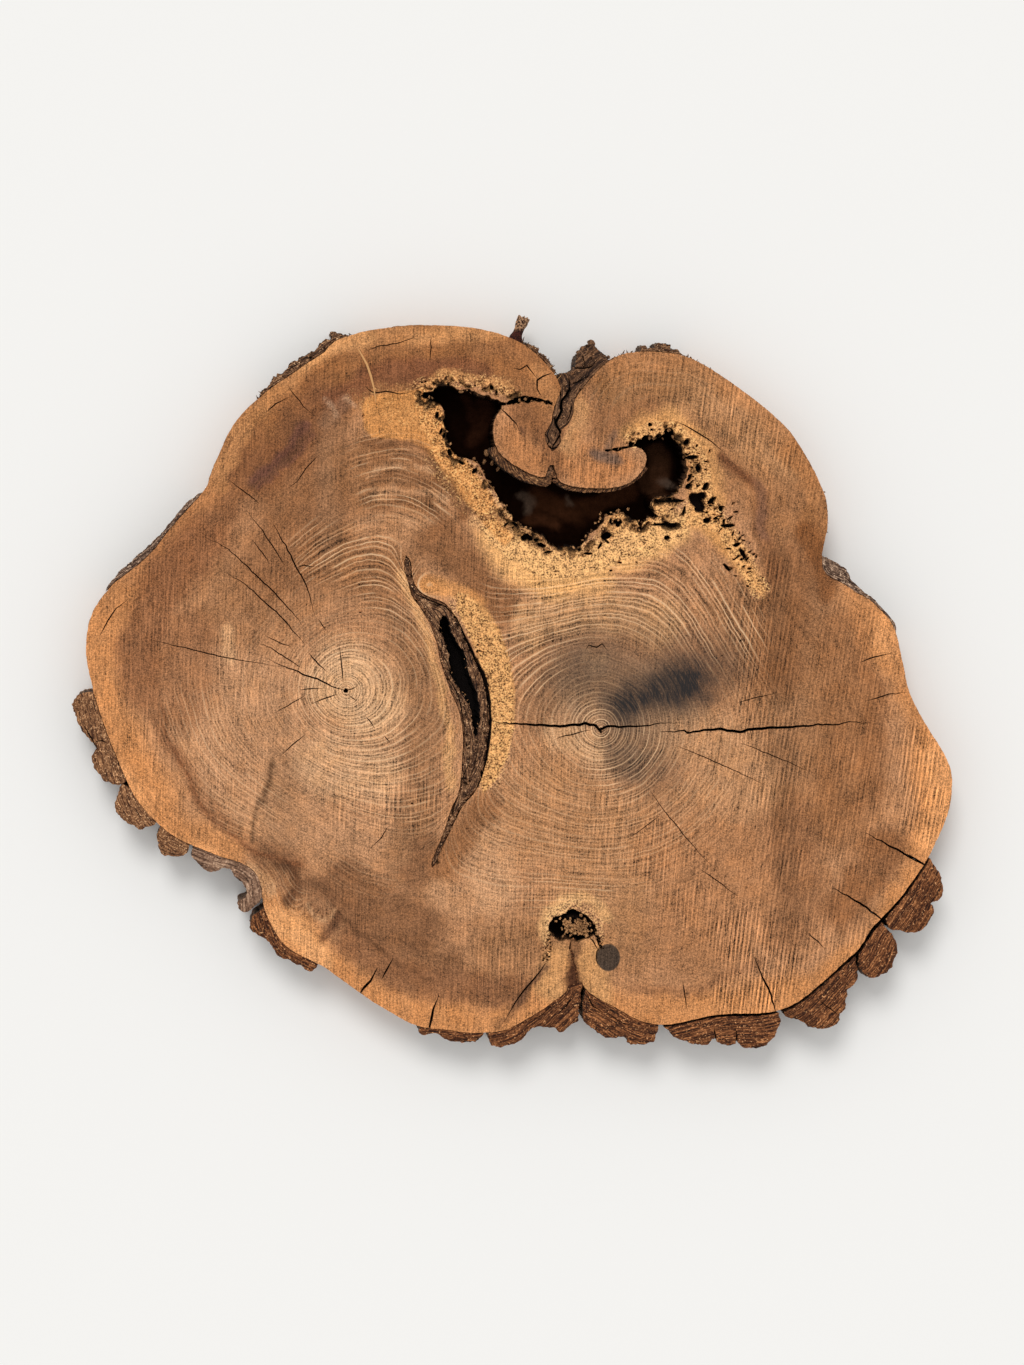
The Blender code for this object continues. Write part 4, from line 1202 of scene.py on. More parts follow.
# %% Wires
class Wire:
    """One value on its way through a material."""

    def __init__(self, tree, socket):
        self.tree, self.socket = tree, socket

    def put(self, kind, settings, values, out=0):
        """A new node of some kind. Returns a wire from its output of number out."""
        node = self.tree.nodes.new("ShaderNode" + kind)
        for name, value in settings.items():
            setattr(node, name, value)
        for key, value in values.items():
            if isinstance(value, Wire):
                self.tree.links.new(value.socket, node.inputs[key])
            else:
                node.inputs[key].default_value = value
        return Wire(self.tree, node.outputs[out])

    def maths(self, operation, *values):
        return self.put("Math", {"operation": operation}, dict(enumerate(values)))

    def __add__(self, other):
        return self.maths("ADD", self, other)

    def __sub__(self, other):
        return self.maths("SUBTRACT", self, other)

    def __rsub__(self, other):
        return self.maths("SUBTRACT", other, self)

    def __mul__(self, other):
        return self.maths("MULTIPLY", self, other)

    __radd__ = __add__
    __rmul__ = __mul__

    def sine(self):
        return self.maths("SINE", self)

    def rise(self, low, high):
        """Rises smoothly from 0 where the value is low to 1 where it is high."""
        values = {0: self, 1: low, 2: high, 3: 0.0, 4: 1.0}
        return self.put("MapRange", {"interpolation_type": "SMOOTHSTEP"}, values)

    def mix(self, first, second):
        """A colour between two others, with this wire as the share of the second."""
        colours = [c if isinstance(c, Wire) else (*c, 1) for c in (first, second)]
        return self.put("Mix", {"data_type": "RGBA"}, {0: self, 6: colours[0], 7: colours[1]}, 2)

    def scaled(self, factor):
        """A colour or direction, made longer or brighter."""
        return self.put("VectorMath", {"operation": "SCALE"}, {0: self, "Scale": factor})

    def vectors(self, operation, other):
        """A colour or direction, with another added to it or multiplied into it."""
        return self.put("VectorMath", {"operation": operation}, {0: self, 1: other})

    def axis(self, number):
        """How far a place lies along one axis: 0, 1 or 2."""
        return self.put("SeparateXYZ", {}, {0: self}, number)

    def noise(self, size, detail=2.0, roughness=0.5):
        """Cloudy grain, with this wire as the place and size as its size in metres."""
        values = {"Vector": self, "Scale": 1 / size, "Detail": detail, "Roughness": roughness}
        return self.put("TexNoise", {}, values)

    def noted(self, name, out=2):
        """A value that was noted in the mesh. Output 2 is a number, output 1 a direction or colour."""
        return self.put("Attribute", {"attribute_name": name}, {}, out)


print("a wire knows", len([name for name in vars(Wire) if not name.startswith("_")]), "words")

# %% Helpers for a finish
def finish(name, specular=0.12):
    """A new material. Returns it, a wire that carries the place on the object, and its main shader."""
    made = bpy.data.materials.new(name)
    made.use_nodes = True
    shader = made.node_tree.nodes["Principled BSDF"]
    shader.inputs["Specular IOR Level"].default_value = specular
    place = Wire(made.node_tree, None).put("TexCoord", {}, {}, 3)
    return made, place, shader


def surface(shader, colour, roughness, height=None, strength=0.8, distance=0.0009):
    """Gives the main shader its colour and roughness, and lets a height catch the light as small bumps."""
    inputs = {"Base Color": colour, "Roughness": roughness}
    if height is not None:
        values = {"Strength": strength, "Distance": distance, "Height": height}
        inputs["Normal"] = height.put("Bump", {}, values)
    for name, value in inputs.items():
        if isinstance(value, Wire):
            value.tree.links.new(value.socket, shader.inputs[name])
        else:
            shader.inputs[name].default_value = value


def stretched(place, x, y, z):
    """The place with each way stretched, to draw grain out into fibres or lines."""
    return place.vectors("MULTIPLY", (x, y, z))


print("materials so far:", len(bpy.data.materials))

# %% [markdown]
# ## The sawn face
#
# Rings come first: the fraction of the ring count says how far through its year each spot is. Late wood
# is a dark line with a sharp edge, and here and there the saw has torn early wood up into a pale line.
# Drawn all alike, the rings would look printed. Every ring gets a strength of its own from a random
# number, and both kinds of line fade in and out along it. Over the rings lie the scratches of the saw,
# then pores, then the speckle of soft wood.

# %% Rings that waver
sawn, place, shader = finish("sawn face")
painted = place.noted("tone", 1)
saw_place = place.noted("saw", 1)
soft_wood, depth, rotten_wood = (place.noted(name) for name in ("soft", "depth", "rot"))
clear, stripes = place.noted("clear"), place.noted("stripes")

UNEVEN = 1.9  # rings are crowded and spread in turn, about every third one
sway = (place.noise(0.13, 1.0) - 0.5) * 2.6 + (place.noise(0.03, 1.0) - 0.5) * 0.7
sway = sway + (place.noise(0.008, 1.0) - 0.5) * 0.25
count = place.noted("rings") + sway
count = count + (count * UNEVEN).sine() * 0.28
year = count.maths("FLOOR", count)
part = count - year


def line_in(start, full, fade, end):
    """A line across a ring: it rises from start to full and fades again from fade to end."""
    return part.rise(start, full) * (1 - part.rise(fade, end))


def noise_with(w, length, **more):
    """Cloudy grain with w as its fourth axis, so that it changes from ring to ring."""
    values = {"Vector": place, "W": w, "Scale": 1 / length, "Detail": 2.0, **more}
    return place.put("TexNoise", {"noise_dimensions": "4D"}, values)


def by_year(seed):
    """A random number for each year."""
    return year.put("TexWhiteNoise", {"noise_dimensions": "1D"}, {"W": year + seed}, 0)


def in_stretches(seed, length, low, high):
    """Fades a ring in and out along its way, differently each year."""
    return noise_with(year * 3.7 + seed, length).rise(low, high)


def along_rings(length, per_ring):
    """Grain that is drawn out along the rings, with so many grains across each ring."""
    return noise_with(count * (per_ring * length), length, Roughness=0.65)


late = line_in(0.0, 0.07, 0.12, 0.36) * (0.45 + 0.55 * by_year(0.1)) * in_stretches(0.2, 0.07, 0.36, 0.52)
torn = line_in(0.46, 0.58, 0.62, 0.74) * (0.36 + 0.72 * by_year(0.3)) * in_stretches(0.4, 0.05, 0.36, 0.48)
swell = line_in(0.05, 0.5, 0.62, 1.0) - 0.5
ring_grain = along_rings(0.026, 2.6)
ring_cloud = along_rings(0.05, 0.7)
print("nodes for the rings:", len(sawn.node_tree.nodes))

# %% Scratches, grain, and how bright each spot is
TOOTH_STEP = 0.0041
BAR_STEP = 0.0054
scratch = stretched(saw_place, 1, 0.04, 0.2).noise(0.0016, 2.0, 0.7)
broad = stretched(saw_place, 1, 0.05, 0.2).noise(0.006, 2.0)
sharp = 0.75 + stripes * 1.1 + (place.noise(0.09, 1.0) - 0.5) * 2.0
across = saw_place.axis(0)
teeth = (across * (2 * math.pi / TOOTH_STEP) + (place.noise(0.05) - 0.5) * 9).sine()
teeth = teeth.rise(-0.2, 1.0) * place.noise(0.07, 1.0).rise(0.44, 0.6)
stripe = (across * (2 * math.pi / BAR_STEP) + (place.noise(0.05) - 0.5) * 4).sine()
stripe = stripe * stripes * (0.3 + 0.7 * scratch.rise(0.35, 0.6))
shade = (place.noted("shade") + (scratch - 0.5) * 0.9).rise(0.35, 0.65)

grain = place.noise(0.0016, 2.0, 0.75)
mottle = place.noise(0.0045, 2.0, 0.6)
cloud = place.noise(0.03, 3.0)
pores = 1 - place.noise(0.0026, 0.0).rise(0.20, 0.30)
pricks = place.noise(0.0016, 0.0).rise(0.58, 0.70)
light = 1.0 + (scratch - 0.5) * 1.9 * sharp + (broad - 0.5) * 0.4 + teeth * 0.16 + stripe * 0.42
light = light + (grain - 0.5) * 2.7 + (mottle - 0.5) * 0.6 + (cloud - 0.5) * 0.6
light = light + pricks * 0.12 - pores * 0.22
light = light + (ring_grain - 0.5) * (0.8 + 1.4 * clear) + (ring_cloud - 0.5) * (0.6 + 0.5 * clear)
light = light + swell * clear * 0.30 - late * (0.08 + 0.26 * clear)
print("nodes with the grain:", len(sawn.node_tree.nodes))

# %% Colour of sound wood
TORN_WOOD = tone(242, 203, 160)
STAINED_WOOD = tone(47, 43, 42)
WARMER = (1.05, 0.99, 0.90)
wood_colour = painted.scaled(light * (1 - 0.18 * shade))
wood_colour = (torn * clear).mix(wood_colour, TORN_WOOD)
warm = 0.3 + 0.7 * place.noise(0.018, 2.0).rise(0.35, 0.75)
wood_colour = warm.mix(wood_colour, wood_colour.vectors("MULTIPLY", WARMER))
uneven = 1.04 + (scratch - 0.5) * 0.7 + (place.noise(0.03, 1.0) - 0.5) * 0.4 + (ring_grain - 0.5) * 1.3
stain = place.noted("stain") * uneven
wood_colour = ((stain - torn * clear * 0.22) * 0.93).mix(wood_colour, STAINED_WOOD)
print("nodes with the colour:", len(sawn.node_tree.nodes))

# %% Soft wood, rot, and painted shade down holes and cracks
speckle = place.noise(0.0020, 2.0, 0.75)
clump = place.noise(0.008, 2.0, 0.6)
dry = painted.scaled(1.12 + (speckle - 0.5) * 5.6 + (clump - 0.5) * 2.6)
dry = (1 - (clump * 0.4 + speckle * 0.6).rise(0.36, 0.42)).mix(dry, tone(84, 44, 16))
dry = speckle.rise(0.57, 0.65).mix(dry, tone(250, 202, 130))
wood_colour = (soft_wood + (mottle - 0.5) * 0.7).rise(0.28, 0.62).mix(wood_colour, dry)

inner = place.noise(0.006, 3.0, 0.6)
rim_colour = (inner * 0.5 + speckle * 0.5).rise(0.42, 0.58).mix(tone(52, 27, 13), tone(196, 144, 90))
# Rot tone that darkens to black with depth: painted shade in worm holes, bites, the moat and the hollow's
# rim.
rot_and_painted_shade = depth.rise(0.002, 0.008).mix(rim_colour, tone(18, 7, 3))
wood_colour = (depth.rise(0.0006, 0.0026) * rotten_wood).mix(wood_colour, rot_and_painted_shade)
# Cracks darken to near black with depth: painted shade inside the grooves.
wood_colour = (depth.rise(0.0003, 0.0028) * (1 - rotten_wood)).mix(wood_colour, tone(24, 12, 8))

relief = (scratch + stripe * 0.3 + grain * 0.9 - pores * 0.6 - late * 0.5) * (1 - soft_wood)
surface(shader, wood_colour, 0.78 + 0.12 * scratch, relief + speckle * soft_wood * 2.8, 0.5, 0.0008)
print("nodes of the sawn face:", len(sawn.node_tree.nodes))

# %% [markdown]
# ## The flank and the hollow's walls
#
# The bare flank is the wood that lay under the bark. It is greyer than the sawn face, and its fibres run
# along the trunk. Inside the hollow the wood has rotted to a brown dust that gives back no glint at all,
# and down the walls its colour turns to the hollow's painted shadow and painted lit walls. One finish for
# all three would need a mask for each, so each has a finish of its own, and every face of the mesh takes
# the one that belongs to its place.

# %% Bare flank
bare, place, shader = finish("bare flank")
fibre = stretched(place, 1, 1, 0.05).noise(0.0022, 3.0, 0.65)
patch = place.noise(0.03, 3.0)
dark_line = place.noise(0.004, 2.0).rise(0.62, 0.72)
colour = fibre.rise(0.3, 0.7).mix(tone(112, 72, 44), tone(196, 140, 92))
colour = (patch.rise(0.45, 0.7) * 0.6).mix(colour, tone(136, 108, 84))
colour = (dark_line * 0.5).mix(colour, tone(74, 46, 30))
surface(shader, colour, 0.8 + 0.1 * patch, fibre, 0.6, 0.0012)
print("nodes of the flank:", len(bare.node_tree.nodes))

# %% Walls of the hollow, darker downwards with painted shade
hollow_dust_and_shade, place, shader = finish("walls of the hollow", 0.0)
inner = place.noise(0.007, 3.0, 0.6)
crumbly = inner.rise(0.44, 0.6).mix(tone(40, 20, 10), tone(150, 104, 62))  # dry crumbs near the upper edge
# Below the edge the colour turns to the hollow's painted light and shadow: painted shade deepens downwards.
below_edge = (place.noted("depth") + (inner - 0.5) * 0.012).rise(0.001, 0.012)
colour = below_edge.mix(crumbly, place.noted("tone", 1).scaled(0.35 + 1.3 * inner))
surface(shader, colour, 1.0, inner, 0.8, 0.002)
print("nodes of the walls:", len(hollow_dust_and_shade.node_tree.nodes))

# %% Which face takes which finish
SAWN, BARE, HOLLOW_DUST_AND_SHADE = 0, 1, 2
for look in (sawn, bare, hollow_dust_and_shade):
    wood.data.materials.append(look)
on_wall, near_rim = parts == ON_WALL, away(spots, rim_raw[::2]) < 0.004
down_hollow = in_hollow & (parts == ON_FACE)
finishes, smooth = [], []
for polygon in wood.data.polygons:
    corners = list(polygon.vertices)
    wall = bool(on_wall[corners].any())
    outer = BARE if wall and near_rim[corners].all() else SAWN
    finishes.append(HOLLOW_DUST_AND_SHADE if down_hollow[corners].all() else outer)
    smooth.append(wall)
wood.data.polygons.foreach_set("material_index", finishes)
wood.data.polygons.foreach_set("use_smooth", smooth)
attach(wood, "root")
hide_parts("wood")
print("faces by finish:", np.bincount(finishes).tolist())

# %% [markdown]
# ## Bark
#
# Bark grows in layers from the wood outwards and splits into ridges as the trunk swells. On the sawn
# face the layers show as fine lines that follow the rim. On the outside the ridges run along the trunk
# with furrows between them. Plain noise would give cork. Noise that is read by the distance to the rim
# gives layers, so the mesh notes that distance for the finish.

# %% The finish of bark and its looks
BLACK_LAYER = tone(34, 19, 13)
OUTSIDE_DARK, OUTSIDE_LIGHT, OUTSIDE_GREY = tone(38, 28, 23), tone(112, 86, 68), tone(140, 120, 100)
# The near black at the foot of the bark's cracks and pits is painted shade.
FURROW_SHADE = tone(20, 12, 9)


def bark_finish(name, dark, mid, light, fleck, amount, layer_size):
    """Bark in three tones with flecks. Amount is how many flecks there are, layer_size the layers' step."""
    made, place, shader = finish(name, 0.2)
    layer, side, deep = place.noted("layer"), place.noted("side"), place.noted("depth")
    wave = (place.noise(0.012) - 0.5) * 0.008 + (place.noise(0.004) - 0.5) * 0.002
    across_layers = place.put("CombineXYZ", {}, {0: layer + wave, 1: layer})
    layers = stretched(place, 0.16, 0.16, 0.16).vectors("ADD", across_layers).noise(layer_size, 2.0, 0.65)
    grit = place.noise(0.0021, 2.0, 0.75)
    lump = place.noise(0.009, 3.0)
    cut = layers.rise(0.40, 0.60).mix(dark, mid)
    cut = (layers.rise(0.52, 0.64) * lump.rise(0.3, 0.6)).mix(cut, light)
    cut = (1 - layers.rise(0.33, 0.40)).mix(cut, BLACK_LAYER)
    cut = (grit.rise(0.64 - amount, 0.72 - amount) * 0.85).mix(cut, fleck)
    cut = cut.scaled(2.8 * grit - 0.38 + (lump - 0.5) * 0.6)
    fibre = stretched(place, 1, 1, 0.12).noise(0.004, 3.0, 0.6)
    skin = fibre.rise(0.32, 0.66).mix(OUTSIDE_DARK, OUTSIDE_LIGHT)
    skin = (lump.rise(0.45, 0.7) * 0.5).mix(skin, OUTSIDE_GREY)
    outside = side.rise(0.2, 0.8)
    # Deeper spots of the bark darken to near black: painted shade in cracks, pits and slits.
    colour = deep.rise(0.0006, 0.006).mix(outside.mix(cut, skin), FURROW_SHADE)
    relief = outside * (fibre * 2 - layers) + layers + grit * 0.7
    surface(shader, colour, 0.82 + 0.1 * lump, relief, 0.8, 0.0011)
    return made


BARK_TONES = {
    # dark, middle, light and fleck, then how many flecks there are and the step of the layers
    "bark": ((56, 27, 13), (124, 74, 42), (172, 112, 68), (210, 156, 106), 0.02, 0.0015),
    "pale bark": ((84, 50, 31), (148, 102, 67), (186, 136, 94), (214, 172, 128), 0.03, 0.0014),
    "grey bark": ((98, 70, 53), (148, 112, 88), (172, 138, 112), (206, 178, 150), 0.005, 0.0030),
    "shut in bark": ((52, 31, 20), (122, 84, 57), (176, 132, 94), (212, 172, 130), 0.025, 0.0016),
    "inner bark": ((52, 30, 19), (120, 80, 50), (168, 122, 80), (190, 144, 98), 0.0, 0.0013),
    "bark in the crotch": ((44, 27, 18), (110, 76, 52), (146, 106, 74), (176, 134, 98), 0.01, 0.0018),
    "weathered bark": ((64, 44, 34), (132, 102, 82), (182, 150, 124), (206, 178, 150), 0.03, 0.0020),
}
LOOKS = {name: bark_finish(name, *(tone(*colour) for colour in colours), amount, layer_size)
         for name, (*colours, amount, layer_size) in BARK_TONES.items()}
print("looks of bark:", len(LOOKS))

# %% [markdown]
# ## The plates
#
# Each plate keeps the outline that the CAD gives it. Its edge towards the wood stays put, because it has
# to fit there, and the rest is broken up: small lumps on the face, ridges and furrows down the outside.
# A few deep cracks are drawn in the same way as those of the wood.

# %% Cracks in the bark: width, depth, places
BARK_CRACKS = {
    "bark_crotch": [
        (4.2, 18, [(569, 376), (570, 388), (567, 394), (562, 400), (561, 412), (556, 422), (561, 434),
                   (553, 446), (551, 458)]),
        (2.4, 9, [(566, 372), (574, 368), (584, 368), (592, 366), (598, 358)]),
        (2.0, 8, [(577, 346), (583, 356), (586, 366)]),
        (2.2, 8, [(545, 432), (549, 440), (547, 446), (553, 449), (560, 446), (562, 438), (557, 431)]),
        (2.0, 7, [(572, 384), (580, 380), (588, 376)]), (2.0, 7, [(556, 384), (561, 392), (560, 402)]),
        (1.8, 7, [(572, 404), (570, 414), (566, 424)]), (1.6, 6, [(558, 412), (554, 420), (556, 430)])],
    "bark_seam": [
        (1.8, 9, [(408, 582), (416, 594), (430, 600), (446, 606), (456, 616), (466, 636), (474, 648)]),
        (2.2, 10, [(470, 646), (480, 664), (486, 684), (488, 706), (487, 726)]),
        (1.6, 9, [(450, 680), (458, 694), (463, 716), (466, 738)]),
        (1.2, 6, [(440, 650), (448, 664), (456, 684)]), (1.0, 5, [(418, 584), (432, 600), (438, 612)]),
        (1.4, 6, [(470, 760), (462, 780), (456, 800), (452, 816)]),
        (1.2, 5, [(478, 748), (474, 768), (466, 786)])],
    "bark_wedge_left": [
        (1.8, 9, [(572, 996), (568, 1004), (560, 1012)]), (1.2, 5, [(520, 1024), (540, 1016), (556, 1004)])],
    "bark_wedge_right": [
        (1.8, 9, [(586, 992), (592, 1004), (604, 1014)]), (1.2, 5, [(606, 1012), (622, 1022), (640, 1028)])],
    "bark_bottom": [
        (2.0, 12, [(714, 1046), (716, 1036), (714, 1026)]),
        (2.4, 14, [(737, 1048), (737, 1038), (736, 1028)])],
    "bark_corner_lower": [(1.4, 8, [(820, 1000), (832, 1010), (842, 1016)])],
    "bark_left_upper": [
        (1.8, 9, [(84, 724), (94, 742), (100, 752)]), (1.6, 8, [(94, 742), (102, 740), (108, 742)])],
}
print("plates with cracks:", len(BARK_CRACKS))

# %% Breaking up an outline
FURROW_ROWS = 12
BARK_STEP = 0.0020
SLIT_FLOOR = 0.010  # height of the foot of a slit above the underside


def off_wood(points, start=0.0016, span=0.004):
    """How far each spot is clear of the wood's rim, from 0 beside it to 1."""
    return np.clip((away(points, rim_raw) - start) / span, 0, 1)


def broken_edge(loop, rough):
    """An outline of bark with small lumps where it doesn't touch the wood."""
    lumps = hills(loop, 0.006, 30) * 0.8 + hills(loop, 0.0026, 31) * 0.6
    return loop + outward(loop) * (lumps * rough * off_wood(loop))[:, None]


def wavering_slit(slit):
    """The edge of a slit, moved in and out by small hills."""
    inwards = 0.0011 + 0.0013 * hills(slit, 0.007, 37) + 0.0008 * hills(slit, 0.003, 38)
    return slit - outward(slit) * inwards[:, None]


print("slits in the bark of the seam:", len(face_loops("bark_seam")) - 1)

# %% One plate of bark
def bark_plate(name, look, slot, rough=0.0013, step=0.0014, pitted=0.0):
    """A plate of bark in place of the CAD node of that name. Rough says how far its outside is broken up,
    step how fine its outline is, and pitted how deep the pits in its face are."""
    node_low, node_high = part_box(name)
    top = node_high.z
    outline, *slits = (broken_edge(walked(loop, step), rough) for loop in face_loops(name))
    slits = [wavering_slit(slit) for slit in slits]
    loose = scattered(outline.min(0), outline.max(0), BARK_STEP, 40)
    loose = loose[away(loose, outline) > 0.0009]
    cracks = [(crack_line(width, places, 60 + i), width, depth)
              for i, (width, depth, places) in enumerate(BARK_CRACKS.get(name, ()))]
    lines = [(slit, True) for slit in slits]
    for line, width, _ in cracks:
        lines += lips(line, width)

    def drop(points):
        edge = away(points, outline)
        lumps = hills(points, 0.005, 33) * 0.5 + hills(points, 0.0021, 34) * 0.5
        rounded = off_wood(points, 0.002, 0.006) * 0.0016 * (1 - ease(0, 0.003, edge))
        down = 0.0007 + lumps * 0.0006 + rounded + pitted * ease(0.25, 0.8, lumps)
        for line, width, depth in cracks:
            down = np.maximum(down, groove(points, line, width, depth))
        for slit in slits:
            far = away(points, slit) * inside(points, slit)
            down = np.maximum(down, np.clip(far / 0.0022, 0, 1) * (top - SLIT_FLOOR))
        return np.maximum(down, 0)

    def furrows(spots, height, which):
        ridges = np.column_stack([spots, height * 0.16])
        flakes = np.column_stack([spots, height * 0.6])
        relief = (hills(ridges, 0.007, 35) - 0.55) * 1.5 + hills(flakes, 0.0032, 36) * 0.6
        return relief * rough * off_wood(spots)

    shut_in = name == "bark_seam"
    carry = leaned if shut_in or name.startswith("skin") else swollen
    piece, spots, heights, parts = slab(name + "_piece", [outline], lines, loose, loose[::3], drop,
                                        node_low.z, top, carry, FURROW_ROWS, furrows)
    deep = np.zeros(len(spots))
    if cracks or pitted or slits:
        deep[parts == ON_FACE] = np.maximum(drop(spots[parts == ON_FACE]) - 0.002, 0)
    note(piece, "layer", away(spots, seam_raw if shut_in else rim_raw))
    note(piece, "side", (parts == ON_WALL).astype(float))
    note(piece, "depth", deep)
    piece.data.materials.append(look)
    piece.data.shade_smooth()
    piece.data.set_sharp_from_angle(angle=math.radians(55))
    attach(piece, "root")
    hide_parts(name)
    return piece


# %% All the plates
PLATES = [
    # how the name starts, look, slot, and what differs from a common plate. The first row that fits counts
    ("fringe", "shut in bark", "bark", {"rough": 0.0030, "step": 0.0010, "pitted": 0.005}),
    ("skin", "inner bark", "inner_bark", {"rough": 0.0008, "step": 0.0012}),
    ("bark_fold", "grey bark", "grey_bark", {}),
    ("bark_right_notch", "weathered bark", "grey_bark", {}),
    ("bark_upper_left", "weathered bark", "grey_bark", {}),
    ("bark_seam", "shut in bark", "bark", {"rough": 0.0010, "pitted": 0.005}),
    ("bark_crotch", "bark in the crotch", "bark", {"rough": 0.0010, "pitted": 0.005}),
    ("bark_left", "pale bark", "bark", {"rough": 0.0015}),
    ("bark", "bark", "bark", {"rough": 0.0015}),
]
plates = []
for name in sorted(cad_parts):
    fitting = [row for row in PLATES if name.startswith(row[0])]
    if fitting:
        _, look, slot, settings = fitting[0]
        plates.append(bark_plate(name, LOOKS[look], slot, **settings))
print("plates of bark:", len(plates))

# %% [markdown]
# ## The broken twig
#
# A dead shoot stands out of the bark at the crotch. A plain cone would look turned on a lathe, so it is
# a tapering rod with knuckles and a torn end, built ring by ring.

# %% Shape of the twig
foot, tip = at((516.9, 339.9), (525, 316))
TWIG_HEIGHT = FACE * 0.6
TWIG_RADIUS = 0.0066
TWIG_RINGS, TWIG_SIDES = 26, 18
TEAR = 0.0022
along = (tip - foot) / math.dist(tip, foot)


def tube_faces(rings, sides, start=0):
    """The faces between rings of points, where each ring has as many sides."""
    for i in range(rings):
        for k in range(sides):
            a, b = start + i * sides + k, start + i * sides + (k + 1) % sides
            yield a, b, b + sides, a + sides


points = []
for share in np.arange(TWIG_RINGS + 1) / TWIG_RINGS:
    spot = leaned((foot + (tip - foot) * share)[None, :], np.array([TWIG_HEIGHT]))[0]
    girth = TWIG_RADIUS * (1.25 - 0.38 * ease(0, 0.4, share) + 0.22 * ease(0.45, 0.85, share))
    for k in range(TWIG_SIDES):
        angle = 2 * math.pi * k / TWIG_SIDES
        bump = 1 + 0.10 * math.sin(3 * angle + 5 * share) + 0.07 * math.sin(7 * angle + 11 * share)
        tear = TEAR * math.sin(2.7 * k + 1) * ease(0.85, 1, share)
        u, v = girth * bump * math.cos(angle), girth * bump * math.sin(angle)
        x, y = spot + along * tear + np.array([-along[1], along[0]]) * u
        points.append((x, y, TWIG_HEIGHT + v))
last = TWIG_RINGS * TWIG_SIDES
points.append(tuple(np.array(points[last:]).mean(0) - np.array([along[0], along[1], 0]) * 0.0025))
faces = list(tube_faces(TWIG_RINGS, TWIG_SIDES))
faces += [(last + k, last + (k + 1) % TWIG_SIDES, len(points) - 1) for k in range(TWIG_SIDES)]
faces.append(tuple(range(TWIG_SIDES))[::-1])
twig = linked("twig_piece", meshed("twig_piece", points, faces))
twig.data.shade_smooth()
print("twig:", len(points), "points")

# %% Finish of the twig
look, place, shader = finish("dry twig", 0.2)
fibre = place.noise(0.0022, 3.0, 0.7)
broken_end = place.axis(1).rise(y_of(330), y_of(325))
colour = fibre.rise(0.40, 0.60).mix(tone(28, 11, 9), tone(80, 38, 28))
colour = (broken_end * fibre.rise(0.44, 0.56)).mix(colour, tone(196, 152, 114))
surface(shader, colour, 0.85, fibre, 0.7, 0.0008)
twig.data.materials.append(look)
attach(twig, "root")
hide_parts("twig")
print("nodes of the twig:", len(look.node_tree.nodes))

# %% [markdown]
# ## Crumbs of rot
#
# Bits of soft wood cling to the hollow's edges and lie in the pocket. A physics run could let them fall,
# but here they hang where they broke, so they are strewn by chance. Each is a ball pushed out of shape,
# and all of them are one mesh.

# %% Crumbs
def drawn(value):
    """A number as it is, or one drawn by chance between two."""
    return rng.uniform(*value) if isinstance(value, tuple) else value


def crumb(heap, spot, down, size, squash=0.7, top=FACE):
    """One crumb more in the heap, about size across, with its middle so far down below the top."""
    z = top - drawn(down)
    size = drawn(size)
    ball = bmesh.ops.create_icosphere(heap, subdivisions=2, radius=0.5)
    seed = len(heap.verts) // len(ball["verts"])
    turn = rng.uniform(0, math.pi)
    shapes = np.array([vertex.co for vertex in ball["verts"]])
    shapes *= 1 + 0.55 * hills(shapes + seed, 0.45, seed)[:, None]
    for vertex, (px, py, pz) in zip(ball["verts"], shapes):
        x, y = turned(px, py * squash, turn)
        vertex.co = (spot[0] + x * size, spot[1] + y * size, z + pz * size * 0.7)


def heaped(name, heap):
    """The heap as one piece."""
    mesh = bpy.data.meshes.new(name)
    heap.to_mesh(mesh)
    heap.free()
    print(name + ":", len(mesh.polygons), "faces")
    return linked(name, mesh)


print("a fixed size stays as it is:", drawn(0.003))

# %% Crumbs in the pocket and along the hollow
POCKET_CRUMBS = ((596, 938), (600, 943), (563, 936), (570, 936), (556, 921), (590, 917), (592, 930),
                 (597, 934))
CHUNK_CRUMBS = [
    # place and size: the chunk in its moat, then a few bits on the left of the hollow
    (668, 513, 0.015), (674, 510, 0.011), (661, 514, 0.011), (668, 517, 0.010), (679, 514, 0.008),
    (486, 452, 0.008), (492, 462, 0.007), (484, 460, 0.007), (498, 468, 0.006), (482, 470, 0.006),
]
crumbs = bmesh.new()
for spot in at(*rng.normal((577, 926), (7.5, 4.8), (150, 2))):
    if inside(spot[None, :], pocket)[0]:
        crumb(crumbs, spot, (0.0008, 0.0040), (0.0022, 0.0046))
for share in rng.uniform(0, 1, 34):
    px, py = 553 - 9 * share + rng.normal(0, 2.2), 932 + 28 * share
    crumb(crumbs, at((px, py))[0], (0.0, 0.002), (0.0014, 0.0034))
for spot in at(*POCKET_CRUMBS):
    crumb(crumbs, spot, 0.003, (0.002, 0.004))
shore_line = hollow[rotten > 0.8]
for i in rng.choice(len(shore_line), 130, replace=False):
    crumb(crumbs, shore_line[i] + rng.normal(0, 0.0020, 2), (0.0025, 0.009), (0.0022, 0.0050))
for px, py, size in CHUNK_CRUMBS:
    crumb(crumbs, at((px, py))[0], 0.009, size, 0.6)
for spot in at(*rng.uniform((588, 508), (640, 536), (60, 2))):
    if away(spot[None, :], hollow)[0] < 0.008:
        crumb(crumbs, spot, (0.0005, 0.004), (0.0022, 0.0052))
slit = face_loops("bark_seam")[1]
for i in rng.choice(len(slit), 18, replace=False):
    crumb(crumbs, slit[i] + rng.normal(0, 0.0006, 2), (0.003, 0.006), (0.0012, 0.003), 0.45)
crumb_piece = heaped("crumbs_of_rot", crumbs)

